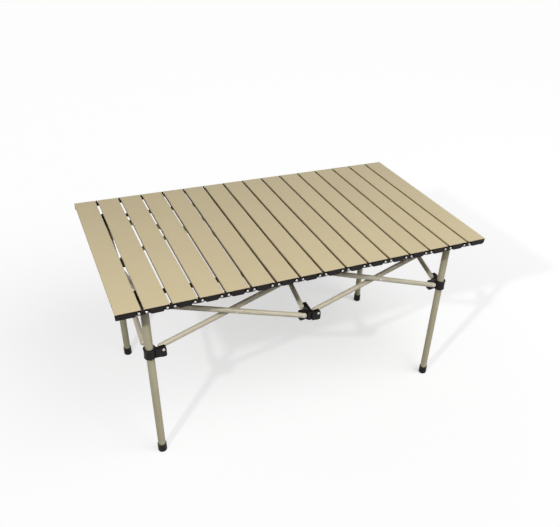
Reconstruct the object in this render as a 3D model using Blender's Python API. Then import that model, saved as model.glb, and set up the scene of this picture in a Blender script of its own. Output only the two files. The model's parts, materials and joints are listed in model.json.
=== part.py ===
"""Folding camp table: a slatted roll-up top on a scissor frame with four legs.

Metres, +Z up. The origin is on the floor under the middle of the top, X runs along the
length and Y from the front edge to the rear edge. Everything is modelled standing open.
"""

from math import atan2, cos, hypot, pi, sin

import bmesh
import bpy
from mathutils import Matrix, Vector

# Overall
TABLE_LENGTH = 0.950
TABLE_WIDTH = 0.550
TABLE_HEIGHT = 0.490

# Slats: a bent sheet with side walls that lean inwards and small return lips
SLAT_COUNT = 16
SLAT_GAP = 0.0055
SHEET_THICKNESS = 0.0012
FLANGE_DEPTH = 0.0162
WALL_LEAN = 0.003
LIP_WIDTH = 0.005
SLAT_EDGE_RADIUS = 0.002
SLAT_EDGE_STEPS = 1
LINK_END_STEPS = 3

# Webbing straps under the slats, cut at each gap
STRAP_FROM_LEGS = 0.0165
STRAP_WIDTH = 0.020
STRAP_THICKNESS = 0.0015
STRAP_INSET = 0.007

# End caps, one in each end of a slat; the face sits a little inside the end of the sheet
CAP_INSET = 0.0013
CAP_BACK_THICKNESS = 0.003
CAP_MIDDLE_DEPTH = 0.0164
CAP_SIDE_DEPTH = 0.0125
CAP_SLOPE = 0.003
PLUG_LENGTH = 0.012

# Links between neighbouring slats, pinned under the ends of the top
LINK_THICKNESS = 0.0022
LINK_HALF_HEIGHT = 0.0048
LINK_PIN_DROP = 0.010
LINK_PIN_INSET = 0.00525
LINK_PIN_RADIUS = 0.0018
LINK_HEAD_RADIUS = 0.0029
LINK_HEAD_THICKNESS = 0.001

# Legs and feet
LEG_RADIUS = 0.0095
TUBE_WALL = 0.0012
LEG_END_INSET = 0.069
LEG_SIDE_INSET = 0.062
FOOT_WALL = 0.0017
FOOT_HEIGHT = 0.025
FOOT_FLOOR = 0.005
FOOT_EDGE = 0.003

# Brackets, collars and hubs
PAD_THICKNESS = 0.005
PAD_MARGIN = 0.016
PAD_CORNER = 0.009
SOCKET_WALL = 0.0035
COLLAR_WALL = 0.0043
ALONG_ARM_THICKNESS = 0.012
CROSS_ARM_THICKNESS = 0.008
LOW_ARM_HEIGHT = 0.0265
LOW_ARM_WAIST = 0.024
LOW_ARM_ABOVE_PIN = 0.006
TOP_ARM_BELOW_PIN = 0.0125
ARM_BEYOND_PIN = 0.007
ARM_CORNER = 0.004
TOP_PIVOT_DROP = 0.018
COLLAR_PIVOT_DROP = 0.139
LEG_PIVOT_REACH = 0.030
HUB_PIVOT_REACH = 0.020
CROSS_PIVOT_REACH = 0.035
HUB_CORE_RADIUS = 0.0078

# Bars and rivets
BAR_RADIUS = 0.0065
BAR_BEYOND_PIN = 0.0095
RIVET_RADIUS = 0.0025
RIVET_HEAD_RADIUS = 0.0045
RIVET_HEAD_THICKNESS = 0.0015

# Clearances
TOUCH_GAP = 0.0003
SLIDE_GAP = 0.0005
PIVOT_GAP = 0.0005
OVERLAP = 0.001

# Sides of the round pieces
TUBE_SIDES = 14
BAR_SIDES = 8
PIN_SIDES = 6

# Worked out
SLAT_WIDTH = (TABLE_LENGTH - (SLAT_COUNT - 1) * SLAT_GAP) / SLAT_COUNT
SLAT_PITCH = SLAT_WIDTH + SLAT_GAP
SEAT_Z = TABLE_HEIGHT - FLANGE_DEPTH - STRAP_THICKNESS - TOUCH_GAP
PAD_BOTTOM_Z = SEAT_Z - PAD_THICKNESS
TOP_PIVOT_Z = SEAT_Z - TOP_PIVOT_DROP
LOW_PIVOT_Z = SEAT_Z - COLLAR_PIVOT_DROP
LEG_X = TABLE_LENGTH / 2 - LEG_END_INSET
LEG_Y = TABLE_WIDTH / 2 - LEG_SIDE_INSET
FOOT_RADIUS = LEG_RADIUS + TOUCH_GAP + FOOT_WALL
STRAP_Y = LEG_Y - STRAP_FROM_LEGS
SPAN_ALONG = LEG_X - LEG_PIVOT_REACH - HUB_PIVOT_REACH
SPAN_ACROSS = 2 * (LEG_Y - CROSS_PIVOT_REACH)
PIVOT_RISE = TOP_PIVOT_Z - LOW_PIVOT_Z
BAR_OFFSET = BAR_RADIUS + TOUCH_GAP
LOW_ARM_BELOW_PIN = LOW_ARM_HEIGHT - LOW_ARM_ABOVE_PIN
LOW_WAIST_TRIM = (LOW_ARM_HEIGHT - LOW_ARM_WAIST) / 2

SIDES = {"front": -1, "rear": 1}
ENDS = {"left": -1, "right": 1}

# The empty on each body's joint axis, and its place in the world
PIVOTS = {}


def material(name, colour, roughness, metallic=0.0):
    """A plain Principled material."""
    made = bpy.data.materials.new(name)
    made.use_nodes = True
    shader = made.node_tree.nodes["Principled BSDF"]
    shader.inputs["Base Color"].default_value = (*colour, 1.0)
    shader.inputs["Roughness"].default_value = roughness
    shader.inputs["Metallic"].default_value = metallic
    made.diffuse_color = (*colour, 1.0)
    return made


def mesh_object(name, shape, finish=None):
    """An object from a bmesh, which is used up."""
    bmesh.ops.recalc_face_normals(shape, faces=shape.faces)
    mesh = bpy.data.meshes.new(name)
    shape.to_mesh(mesh)
    shape.free()
    made = bpy.data.objects.new(name, mesh)
    bpy.context.scene.collection.objects.link(made)
    if finish:
        mesh.materials.append(finish)
    return made


def combine(base, others, operation):
    """Unite the other objects with the base, or cut them from it, and remove them."""
    for other in others:
        step = base.modifiers.new(operation.lower(), "BOOLEAN")
        step.operation = operation
        step.solver = "EXACT"
        step.object = other
    bpy.context.view_layer.update()
    graph = bpy.context.evaluated_depsgraph_get()
    result = bpy.data.meshes.new_from_object(base.evaluated_get(graph))
    finishes = [slot.material for slot in base.material_slots]
    base.modifiers.clear()
    base.data = result
    result.materials.clear()
    for finish in finishes:
        result.materials.append(finish)
    for other in others:
        bpy.data.objects.remove(other)
    return base


def smooth(made, degrees=40):
    """Shade the round sides smooth and keep the edges sharp."""
    made.data.shade_smooth()
    made.data.set_sharp_from_angle(angle=degrees * pi / 180)
    return made


def prism(name, outline, normal, low, high, finish=None):
    """A flat outline pushed along an axis from low to high.

    The outline's pairs are (x, z) for normal "Y", (y, z) for "X" and (x, y) for "Z".
    """
    place = {
        "X": lambda a, b: (low, a, b),
        "Y": lambda a, b: (a, low, b),
        "Z": lambda a, b: (a, b, low),
    }[normal]
    shape = bmesh.new()
    face = shape.faces.new([shape.verts.new(place(a, b)) for a, b in outline])
    pushed = bmesh.ops.extrude_face_region(shape, geom=[face])
    moved = [part for part in pushed["geom"] if isinstance(part, bmesh.types.BMVert)]
    direction = Vector([float(axis == normal) for axis in "XYZ"])
    bmesh.ops.translate(shape, verts=moved, vec=direction * (high - low))
    return mesh_object(name, shape, finish)


def box(name, low, high, finish=None):
    """A box between two corners."""
    outline = [(low[0], low[1]), (high[0], low[1]), (high[0], high[1]), (low[0], high[1])]
    return prism(name, outline, "Z", low[2], high[2], finish)


def turned(name, profile, sides, finish=None):
    """A profile of (radius, z) pairs turned about Z; it is closed, or ends on the axis."""
    shape = bmesh.new()
    points = [shape.verts.new((radius, 0, z)) for radius, z in profile]
    edges = [shape.edges.new(pair) for pair in zip(points, points[1:])]
    if profile[0][0] > 0:
        edges.append(shape.edges.new((points[-1], points[0])))
    bmesh.ops.spin(shape, geom=points + edges, cent=(0, 0, 0), axis=(0, 0, 1), angle=2 * pi,
                   steps=sides, use_merge=True)
    bmesh.ops.remove_doubles(shape, verts=shape.verts, dist=0.00001)
    return mesh_object(name, shape, finish)


def ring(name, inner, outer, low, high, sides, finish=None):
    """A tube with open ends along Z."""
    return turned(name, [(inner, low), (outer, low), (outer, high), (inner, high)], sides, finish)


def rod(name, radius, start, end, sides):
    """A plain round rod from start to end."""
    start, end = Vector(start), Vector(end)
    run = end - start
    shape = bmesh.new()
    bmesh.ops.create_cone(
        shape, cap_ends=True, segments=sides, radius1=radius, radius2=radius, depth=run.length
    )
    turn = run.to_track_quat("Z", "Y").to_matrix().to_4x4()
    bmesh.ops.transform(shape, matrix=Matrix.Translation((start + end) / 2) @ turn, verts=shape.verts)
    return mesh_object(name, shape)


def arc(centre, radius, first, last, steps):
    """Points on an arc, with angles in degrees."""
    turns = [(first + (last - first) * step / steps) * pi / 180 for step in range(steps + 1)]
    return [(centre[0] + radius * cos(turn), centre[1] + radius * sin(turn)) for turn in turns]


def slat_outline():
    """The section of a slat, in x from its middle and z from its top face."""
    half = SLAT_WIDTH / 2
    wall = SHEET_THICKNESS
    radius = SLAT_EDGE_RADIUS
    foot_x = half - WALL_LEAN
    right = [
        *arc((half - radius, -radius), radius, 90, 0, SLAT_EDGE_STEPS),
        (foot_x, -FLANGE_DEPTH),
        (foot_x - LIP_WIDTH, -FLANGE_DEPTH),
        (foot_x - LIP_WIDTH, -FLANGE_DEPTH + wall),
        (foot_x - wall, -FLANGE_DEPTH + wall),
        (half - wall, -wall),
    ]
    return right + [(-x, z) for x, z in reversed(right)]


def cap_outline(low, high):
    """A cap seen from the front: deep in the middle and shallower by the links."""
    top = -SHEET_THICKNESS / 2
    shallow = LINK_PIN_INSET * 2
    half = SLAT_WIDTH / 2
    outline = [(low, top), (low, -CAP_SIDE_DEPTH)]
    if low < -half + shallow:
        outline.append((-half + shallow, -CAP_SIDE_DEPTH))
    outline.append((max(low, -half + shallow + CAP_SLOPE), -CAP_MIDDLE_DEPTH))
    outline.append((min(high, half - shallow - CAP_SLOPE), -CAP_MIDDLE_DEPTH))
    if high > half - shallow:
        outline.append((half - shallow, -CAP_SIDE_DEPTH))
    return outline + [(high, -CAP_SIDE_DEPTH), (high, top)]


def slat_end(side, linked_left, linked_right):
    """The cap, plug, link and link pins of one end of a slat, as pieces to unite."""
    half = SLAT_WIDTH / 2
    end = TABLE_WIDTH / 2

    def span(start, stop):
        """Two distances in from the end, as low and high y on this side."""
        near, far = side * (end - start), side * (end - stop)
        return min(near, far), max(near, far)

    link_back = CAP_INSET + LINK_THICKNESS
    back = link_back + TOUCH_GAP
    flange_start = back + CAP_BACK_THICKNESS / 2
    pieces = [
        prism("back", cap_outline(-half + TOUCH_GAP, half - TOUCH_GAP), "Y",
              *span(back, back + CAP_BACK_THICKNESS)),
    ]
    wall = SHEET_THICKNESS + TOUCH_GAP
    plug_top, plug_foot = half - wall, half - wall - WALL_LEAN
    plug = [
        (-plug_top, -wall),
        (plug_top, -wall),
        (plug_foot, -FLANGE_DEPTH + wall),
        (-plug_foot, -FLANGE_DEPTH + wall),
    ]
    pieces.append(prism("plug", plug, "Y", *span(flange_start, back + PLUG_LENGTH)))
    left = -half + 2 * LINK_PIN_INSET + OVERLAP if linked_left else -half + TOUCH_GAP
    right = half - TOUCH_GAP
    pieces.append(prism("face", cap_outline(left, right), "Y", *span(CAP_INSET, back + OVERLAP)))
    head_far = CAP_INSET - TOUCH_GAP - LINK_HEAD_THICKNESS

    def pin(x, start, stop, radius):
        """A round piece through the link, across two distances in from the end."""
        low, high = span(start, stop)
        return rod("pin", radius, (x, low, -LINK_PIN_DROP), (x, high, -LINK_PIN_DROP), PIN_SIDES)

    if linked_right:
        reach = half + SLAT_GAP + LINK_PIN_INSET
        link = [
            (half - 2 * LINK_PIN_INSET, -LINK_PIN_DROP - LINK_HALF_HEIGHT),
            *arc((reach, -LINK_PIN_DROP), LINK_HALF_HEIGHT, -90, 90, LINK_END_STEPS),
            (half - 2 * LINK_PIN_INSET, -LINK_PIN_DROP + LINK_HALF_HEIGHT),
        ]
        pieces.append(prism("link", link, "Y", *span(CAP_INSET, link_back)))
        link_middle = CAP_INSET + LINK_THICKNESS / 2
        pieces.append(pin(half - LINK_PIN_INSET, head_far, link_middle, LINK_HEAD_RADIUS))
    if linked_left:
        pin_x = -half + LINK_PIN_INSET
        head_near = head_far + LINK_HEAD_THICKNESS
        pieces.append(pin(pin_x, (head_far + head_near) / 2, back + OVERLAP, LINK_PIN_RADIUS))
        pieces.append(pin(pin_x, head_far, head_near, LINK_HEAD_RADIUS))
    return pieces, flange_start


def strap_piece(side):
    """The length of webbing under one slat, set a little into its lips."""
    reach = SLAT_WIDTH / 2 - STRAP_INSET
    low, high = sorted((side * (STRAP_Y - STRAP_WIDTH / 2), side * (STRAP_Y + STRAP_WIDTH / 2)))
    return box("strap", (-reach, low, -FLANGE_DEPTH - STRAP_THICKNESS),
               (reach, high, -FLANGE_DEPTH + SHEET_THICKNESS / 2))


def slat_mesh(name, linked_left, linked_right, finish):
    """A whole slat about its own middle, with its top face at z = 0."""
    half = SLAT_WIDTH / 2
    end = TABLE_WIDTH / 2
    slat = prism(name, slat_outline(), "Y", -end, end, finish)
    additions = []
    cuts = []
    holes = []
    for side in SIDES.values():
        pieces, flange_start = slat_end(side, linked_left, linked_right)
        additions += pieces
        low, high = sorted((side * (end + OVERLAP), side * (end - flange_start)))
        cuts.append(box("end_cut", (-half - OVERLAP, low, -FLANGE_DEPTH - OVERLAP),
                        (half + OVERLAP, high, -SHEET_THICKNESS)))
        additions.append(strap_piece(side))
        if linked_right:
            x = half + SLAT_GAP + LINK_PIN_INSET
            link_back = end - CAP_INSET - LINK_THICKNESS
            low, high = sorted((side * (end + OVERLAP), side * (link_back - OVERLAP)))
            holes.append(rod("hole", LINK_PIN_RADIUS + PIVOT_GAP,
                             (x, low, -LINK_PIN_DROP), (x, high, -LINK_PIN_DROP), PIN_SIDES))
    combine(slat, cuts, "DIFFERENCE")
    combine(slat, additions, "UNION")
    if holes:
        combine(slat, holes, "DIFFERENCE")
    return smooth(slat)


def pivot(name, place, carrier=None):
    """An empty on a joint's axis, parented to the joint that carries it."""
    empty = bpy.data.objects.new(f"{name}_pivot", None)
    empty.empty_display_size = 0.01
    bpy.context.scene.collection.objects.link(empty)
    place = Vector(place)
    empty.location = place
    if carrier:
        empty.parent = PIVOTS[carrier][0]
        empty.location = place - PIVOTS[carrier][1]
    PIVOTS[name] = (empty, place)


def hang(made, body, place, turn=None):
    """Parent an object to its body's empty and put it at a place in the world."""
    made.parent, axis_place = PIVOTS[body]
    made.location = Vector(place) - axis_place
    if turn:
        made.rotation_euler = turn.to_euler()
    return made


def slats(finish):
    """The slats, hung on each other outwards from the middle one; the inner ones share a mesh."""
    middle = SLAT_COUNT // 2 - 1
    meshes = {}
    for index in [*range(middle, SLAT_COUNT), *range(middle - 1, -1, -1)]:
        name = f"slat_{index + 1:02d}"
        kind = (index > 0, index < SLAT_COUNT - 1)
        if kind in meshes:
            slat = bpy.data.objects.new(name, meshes[kind])
            bpy.context.scene.collection.objects.link(slat)
        else:
            slat = slat_mesh(name, *kind, finish)
            meshes[kind] = slat.data
        x = (index - (SLAT_COUNT - 1) / 2) * SLAT_PITCH
        pin_x = x - SLAT_WIDTH / 2 + LINK_PIN_INSET
        pin_z = TABLE_HEIGHT - LINK_PIN_DROP
        if index == middle:
            pivot(name, (x, 0, TABLE_HEIGHT))
        elif index > middle:
            pivot(name, (pin_x, 0, pin_z), f"slat_{index:02d}")
        else:
            pivot(name, (pin_x + SLAT_PITCH, 0, pin_z), f"slat_{index + 2:02d}")
        hang(slat, name, (x, 0, TABLE_HEIGHT))


def arm_plate(axis, sign, plate_side, reach, root, top=None):
    """An arm plate from near a bracket's axis out to past its pivot, with the pivot's hole.

    Args:
        axis: "X" or "Y", the way the arm runs.
        sign: -1 or 1, the way along that axis.
        plate_side: -1 or 1, the side of the centre plane that the plate stands on.
        reach: the pivot's distance from the bracket's axis; the pivot is at z = 0.
        root: where the plate starts, inside the piece that carries it.
        top: how high the plate runs up into a pad; without it the arm is a low one, which
            flares to its end and reaches further below its pivot than above it.

    Returns:
        The plate and the hole's cutter.
    """
    tip = reach + ARM_BEYOND_PIN
    if top:
        bottom = -TOP_ARM_BELOW_PIN
        corner = [(tip - ARM_CORNER, bottom), (tip, bottom + ARM_CORNER)]
        outline = [(root, top), (root, bottom), *corner, (tip, top)]
    else:
        neck = (root + reach) / 2
        steps = [
            (root, LOW_WAIST_TRIM),
            (neck, LOW_WAIST_TRIM),
            (reach, 0.0),
            (tip - ARM_CORNER, 0.0),
            (tip, ARM_CORNER),
        ]
        outline = [(along, trim - LOW_ARM_BELOW_PIN) for along, trim in steps]
        outline += [(along, LOW_ARM_ABOVE_PIN - trim) for along, trim in reversed(steps)]
    outline = [(sign * along, z) for along, z in outline]
    thickness = ALONG_ARM_THICKNESS if axis == "X" else CROSS_ARM_THICKNESS
    low, high = sorted((0.0, plate_side * thickness))
    plate = prism("arm", outline, "Y" if axis == "X" else "X", low, high)
    ends = [(sign * reach, across, 0) for across in (low - OVERLAP, high + OVERLAP)]
    if axis == "Y":
        ends = [(across, along, z) for along, across, z in ends]
    return plate, rod("hole", RIVET_RADIUS + PIVOT_GAP, *ends, PIN_SIDES)


def with_arms(made, arms, others=()):
    """Unite a bracket's body with its arms and other pieces, then drill the arms' pivots."""
    combine(made, [plate for plate, _ in arms] + list(others), "UNION")
    combine(made, [hole for _, hole in arms], "DIFFERENCE")
    return smooth(made)


def collar(name, end, side, finish):
    """A collar that slides on a leg, about the leg's axis with its pivots at z = 0."""
    inner = LEG_RADIUS + SLIDE_GAP
    outer = inner + COLLAR_WALL
    made = ring(name, inner, outer, -LOW_ARM_BELOW_PIN, LOW_ARM_ABOVE_PIN, TUBE_SIDES, finish)
    root = inner + COLLAR_WALL / 4
    return with_arms(made, [
        arm_plate("X", -end, end, LEG_PIVOT_REACH, root),
        arm_plate("Y", -side, -side, CROSS_PIVOT_REACH, root),
    ])


def pad(outline):
    """The flat seat on top of a bracket."""
    high = TOP_PIVOT_DROP
    return prism("pad", outline, "Z", high - PAD_THICKNESS, high)


def leg_bracket(name, end, side, finish):
    """The socket and seat on top of a leg, about the leg's axis with its pivots at z = 0."""
    inner = LEG_RADIUS + TOUCH_GAP
    top = TOP_PIVOT_DROP - PAD_THICKNESS + OVERLAP
    made = ring(name, inner, inner + SOCKET_WALL, -TOP_ARM_BELOW_PIN, top, TUBE_SIDES, finish)
    root = inner + SOCKET_WALL / 4
    far_x = LEG_PIVOT_REACH + ARM_BEYOND_PIN
    far_y = CROSS_PIVOT_REACH + ARM_BEYOND_PIN
    near = -PAD_MARGIN
    seat = [
        (near + PAD_CORNER, near),
        (far_x, near),
        (far_x, PAD_CORNER),
        (PAD_CORNER, far_y),
        (near, far_y),
        (near, near + PAD_CORNER),
    ]
    seat = [(-end * x, -side * y) for x, y in seat]
    return with_arms(made, [
        arm_plate("X", -end, -end, LEG_PIVOT_REACH, root, top),
        arm_plate("Y", -side, side, CROSS_PIVOT_REACH, root, top),
    ], [pad(seat)])


def hub_core(name, bottom, top, finish):
    """The solid middle that three arms meet in."""
    profile = [(0, bottom), (HUB_CORE_RADIUS, bottom), (HUB_CORE_RADIUS, top), (0, top)]
    return turned(name, profile, TUBE_SIDES, finish)


def hub(name, side, finish):
    """A hub that hangs on the bars in the middle of a long side, with its pivots at z = 0."""
    made = hub_core(name, LOW_WAIST_TRIM - LOW_ARM_BELOW_PIN, LOW_ARM_ABOVE_PIN - LOW_WAIST_TRIM, finish)
    root = HUB_CORE_RADIUS / 2
    arms = [arm_plate("X", end, -end, HUB_PIVOT_REACH, root) for end in ENDS.values()]
    arms.append(arm_plate("Y", -side, -side, CROSS_PIVOT_REACH, root))
    return with_arms(made, arms)


def middle_bracket(name, side, finish):
    """The bracket under the top in the middle of a long side, with its pivots at z = 0."""
    top = TOP_PIVOT_DROP - PAD_THICKNESS + OVERLAP
    made = hub_core(name, -TOP_ARM_BELOW_PIN, top, finish)
    root = HUB_CORE_RADIUS / 2
    arms = [arm_plate("X", end, end, HUB_PIVOT_REACH, root, top) for end in ENDS.values()]
    arms.append(arm_plate("Y", -side, side, CROSS_PIVOT_REACH, root, top))
    far_x = HUB_PIVOT_REACH + ARM_BEYOND_PIN
    far_y = CROSS_PIVOT_REACH + ARM_BEYOND_PIN
    seat = [
        (-far_x, -PAD_MARGIN),
        (far_x, -PAD_MARGIN),
        (far_x, PAD_CORNER),
        (PAD_CORNER, far_y),
        (-PAD_CORNER, far_y),
        (-far_x, PAD_CORNER),
    ]
    return with_arms(made, arms, [pad([(x, -side * y) for x, y in seat])])


def foot(name, finish):
    """A moulded foot round the end of a leg, standing on z = 0."""
    inner = LEG_RADIUS + TOUCH_GAP
    profile = [
        (0, 0),
        *arc((FOOT_RADIUS - FOOT_EDGE, FOOT_EDGE), FOOT_EDGE, -90, 0, 2),
        (FOOT_RADIUS, FOOT_HEIGHT),
        (inner, FOOT_HEIGHT),
        (inner, FOOT_FLOOR),
        (0, FOOT_FLOOR),
    ]
    return smooth(turned(name, profile, TUBE_SIDES, finish))


def rivet_along_y(name, head_low, low, high, head_high, finish=None):
    """A rivet with a head at each end, along Y; the heads' outer faces come first and last.

    It is turned by half a side, so that none of its edges meets an edge of a bar.
    """
    profile = [
        (0, head_low),
        (RIVET_HEAD_RADIUS, head_low),
        (RIVET_HEAD_RADIUS, low),
        (RIVET_RADIUS, low),
        (RIVET_RADIUS, high),
        (RIVET_HEAD_RADIUS, high),
        (RIVET_HEAD_RADIUS, head_high),
        (0, head_high),
    ]
    made = turned(name, profile, PIN_SIDES, finish)
    flats_up = Matrix.Rotation(pi / PIN_SIDES, 4, "Z")
    made.data.transform(Matrix.Rotation(-pi / 2, 4, "X") @ flats_up)
    return made


def bar(name, length, arm_thickness, finish):
    """A bar along X about its own middle, with its two end rivets towards +Y.

    Args:
        length: the distance between its end pivots.
        arm_thickness: the thickness of the arm plates that its end rivets go through.
    """
    half = length / 2
    end = half + BAR_BEYOND_PIN
    made = ring(name, BAR_RADIUS - TUBE_WALL, BAR_RADIUS, -end, end, BAR_SIDES, finish)
    made.data.transform(Matrix.Rotation(pi / 2, 4, "Y"))
    plate_far = BAR_OFFSET + arm_thickness + TOUCH_GAP
    head_near = -BAR_RADIUS - RIVET_HEAD_THICKNESS / 2
    rivets = []
    for x in (-half, half):
        rivet = rivet_along_y("rivet", head_near, head_near + RIVET_HEAD_THICKNESS, plate_far,
                              plate_far + RIVET_HEAD_THICKNESS)
        rivet.data.transform(Matrix.Translation((x, 0, 0)))
        rivets.append(rivet)
    combine(made, rivets, "UNION")
    reach = BAR_RADIUS + OVERLAP
    hole = rod("hole", RIVET_RADIUS + PIVOT_GAP, (0, -reach, 0), (0, reach, 0), PIN_SIDES)
    combine(made, [hole], "DIFFERENCE")
    return smooth(made)


def copy_of(made, name):
    """Another object with the same mesh."""
    twin = bpy.data.objects.new(name, made.data)
    bpy.context.scene.collection.objects.link(twin)
    return twin


def frame_joints():
    """The empties on the joints' axes, from the front middle bracket outwards."""
    leg_pivot_x = LEG_X - LEG_PIVOT_REACH
    middle_x = (leg_pivot_x + HUB_PIVOT_REACH) / 2
    middle_z = (TOP_PIVOT_Z + LOW_PIVOT_Z) / 2
    across = LEG_Y - CROSS_PIVOT_REACH
    pivot("middle_bracket_front", (0, -LEG_Y, TOP_PIVOT_Z))
    pivot("middle_front_high_bar", (0, -across, TOP_PIVOT_Z), "middle_bracket_front")
    pivot("middle_rear_high_bar", (0, 0, middle_z), "middle_front_high_bar")
    pivot("middle_bracket_rear", (0, across, TOP_PIVOT_Z), "middle_rear_high_bar")
    for side_name, side in SIDES.items():
        y = side * LEG_Y
        for end_name, end in ENDS.items():
            corner = f"{side_name}_{end_name}"
            rising, falling = f"{corner}_rising_bar", f"{corner}_falling_bar"
            pivot(rising, (end * HUB_PIVOT_REACH, y, TOP_PIVOT_Z), f"middle_bracket_{side_name}")
            pivot(falling, (end * middle_x, y, middle_z), rising)
            pivot(f"collar_{corner}", (end * leg_pivot_x, y, LOW_PIVOT_Z), rising)
            pivot(f"leg_{corner}", (end * leg_pivot_x, y, TOP_PIVOT_Z), falling)
    pivot("hub_front", (-HUB_PIVOT_REACH, -LEG_Y, LOW_PIVOT_Z), "front_left_falling_bar")
    pivot("hub_rear", (0, across, LOW_PIVOT_Z), "middle_front_high_bar")
    for end_name, end in ENDS.items():
        x = end * LEG_X
        pivot(f"{end_name}_rear_high_bar", (x, -across, LOW_PIVOT_Z), f"collar_front_{end_name}")
        pivot(f"{end_name}_front_high_bar", (x, -across, TOP_PIVOT_Z), f"leg_front_{end_name}")


def bars(finish, rivet_finish):
    """The bars, a rising and a falling one in each X, and the rivet in the middle of each X."""
    along = bar("along", hypot(SPAN_ALONG, PIVOT_RISE), ALONG_ARM_THICKNESS, finish)
    across = bar("across", hypot(SPAN_ACROSS, PIVOT_RISE), CROSS_ARM_THICKNESS, finish)
    reach = BAR_OFFSET + BAR_RADIUS + TOUCH_GAP
    rivet = smooth(rivet_along_y("rivet", -reach - RIVET_HEAD_THICKNESS, -reach, reach,
                                 reach + RIVET_HEAD_THICKNESS, rivet_finish))
    middle_z = (TOP_PIVOT_Z + LOW_PIVOT_Z) / 2
    slope_along = atan2(PIVOT_RISE, SPAN_ALONG)
    slope_across = atan2(PIVOT_RISE, SPAN_ACROSS)
    for side_name, side in SIDES.items():
        for end_name, end in ENDS.items():
            x = end * (HUB_PIVOT_REACH + SPAN_ALONG / 2)
            for kind, offset, tilt in (("rising", -end, end), ("falling", end, -end)):
                name = f"{side_name}_{end_name}_{kind}_bar"
                flip = Matrix.Rotation(pi if offset > 0 else 0, 3, "Z")
                turn = Matrix.Rotation(tilt * slope_along, 3, "Y") @ flip
                place = (x, side * LEG_Y + offset * BAR_OFFSET, middle_z)
                hang(copy_of(along, name), name, place, turn)
            corner = f"{side_name}_{end_name}"
            made = copy_of(rivet, f"{corner}_rivet")
            hang(made, f"{corner}_rising_bar", (x, side * LEG_Y, middle_z))
    quarter = Matrix.Rotation(pi / 2, 3, "Z")
    for name, x in {"left": -LEG_X, "middle": 0.0, "right": LEG_X}.items():
        for kind, offset in (("rear", -1), ("front", 1)):
            bar_name = f"{name}_{kind}_high_bar"
            flip = quarter if offset > 0 else quarter.inverted()
            turn = Matrix.Rotation(-offset * slope_across, 3, "X") @ flip
            hang(copy_of(across, bar_name), bar_name, (x + offset * BAR_OFFSET, 0, middle_z), turn)
        hang(copy_of(rivet, f"{name}_rivet"), f"{name}_front_high_bar", (x, 0, middle_z), quarter)
    for pattern in (along, across, rivet):
        bpy.data.objects.remove(pattern)


def legs(tube_finish, moulding):
    """The four legs, each a tube with a bracket on top, a foot below and a collar round it."""
    for side_name, side in SIDES.items():
        for end_name, end in ENDS.items():
            corner = f"{side_name}_{end_name}"
            x, y = end * LEG_X, side * LEG_Y
            tube = ring(f"leg_tube_{corner}", LEG_RADIUS - TUBE_WALL, LEG_RADIUS, FOOT_FLOOR + TOUCH_GAP,
                        PAD_BOTTOM_Z - TOUCH_GAP, TUBE_SIDES, tube_finish)
            bracket = leg_bracket(f"leg_bracket_{corner}", end, side, moulding)
            sliding = collar(f"collar_{corner}", end, side, moulding)
            hang(smooth(tube), f"leg_{corner}", (x, y, 0))
            hang(foot(f"foot_{corner}", moulding), f"leg_{corner}", (x, y, 0))
            hang(bracket, f"leg_{corner}", (x, y, TOP_PIVOT_Z))
            hang(sliding, f"collar_{corner}", (x, y, LOW_PIVOT_Z))


def middles(moulding):
    """The bracket and the hub in the middle of each long side."""
    for side_name, side in SIDES.items():
        y = side * LEG_Y
        bracket = middle_bracket(f"middle_bracket_{side_name}", side, moulding)
        hang(bracket, f"middle_bracket_{side_name}", (0, y, TOP_PIVOT_Z))
        hang(hub(f"hub_{side_name}", side, moulding), f"hub_{side_name}", (0, y, LOW_PIVOT_Z))


def main():
    """Clear the scene and build the table."""
    for old in list(bpy.data.objects):
        bpy.data.objects.remove(old)
    top_paint = material("slat_paint", (0.60, 0.52, 0.38), 0.42, 0.35)
    tube_paint = material("tube_paint", (0.56, 0.52, 0.38), 0.35, 0.35)
    moulding = material("black_moulding", (0.012, 0.012, 0.013), 0.5)
    steel = material("rivet_steel", (0.62, 0.62, 0.64), 0.3, 1.0)
    frame_joints()
    slats(top_paint)
    legs(tube_paint, moulding)
    middles(moulding)
    bars(tube_paint, steel)


main()
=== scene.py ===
"""Looks of the folding camp table: a roll-up slatted top on a scissor frame with four legs.

Metres, +Z up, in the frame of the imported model: the origin is on the floor under the middle
of the top, X runs along the length and Y from the front edge to the rear edge.
"""

from __future__ import annotations

import json
import logging
from collections.abc import Iterable, Iterator, Sequence
from dataclasses import dataclass
from enum import Enum
from math import atan2, cos, degrees, hypot, pi, radians, sin

import bmesh
import bpy
from mathutils import Matrix, Vector

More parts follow.
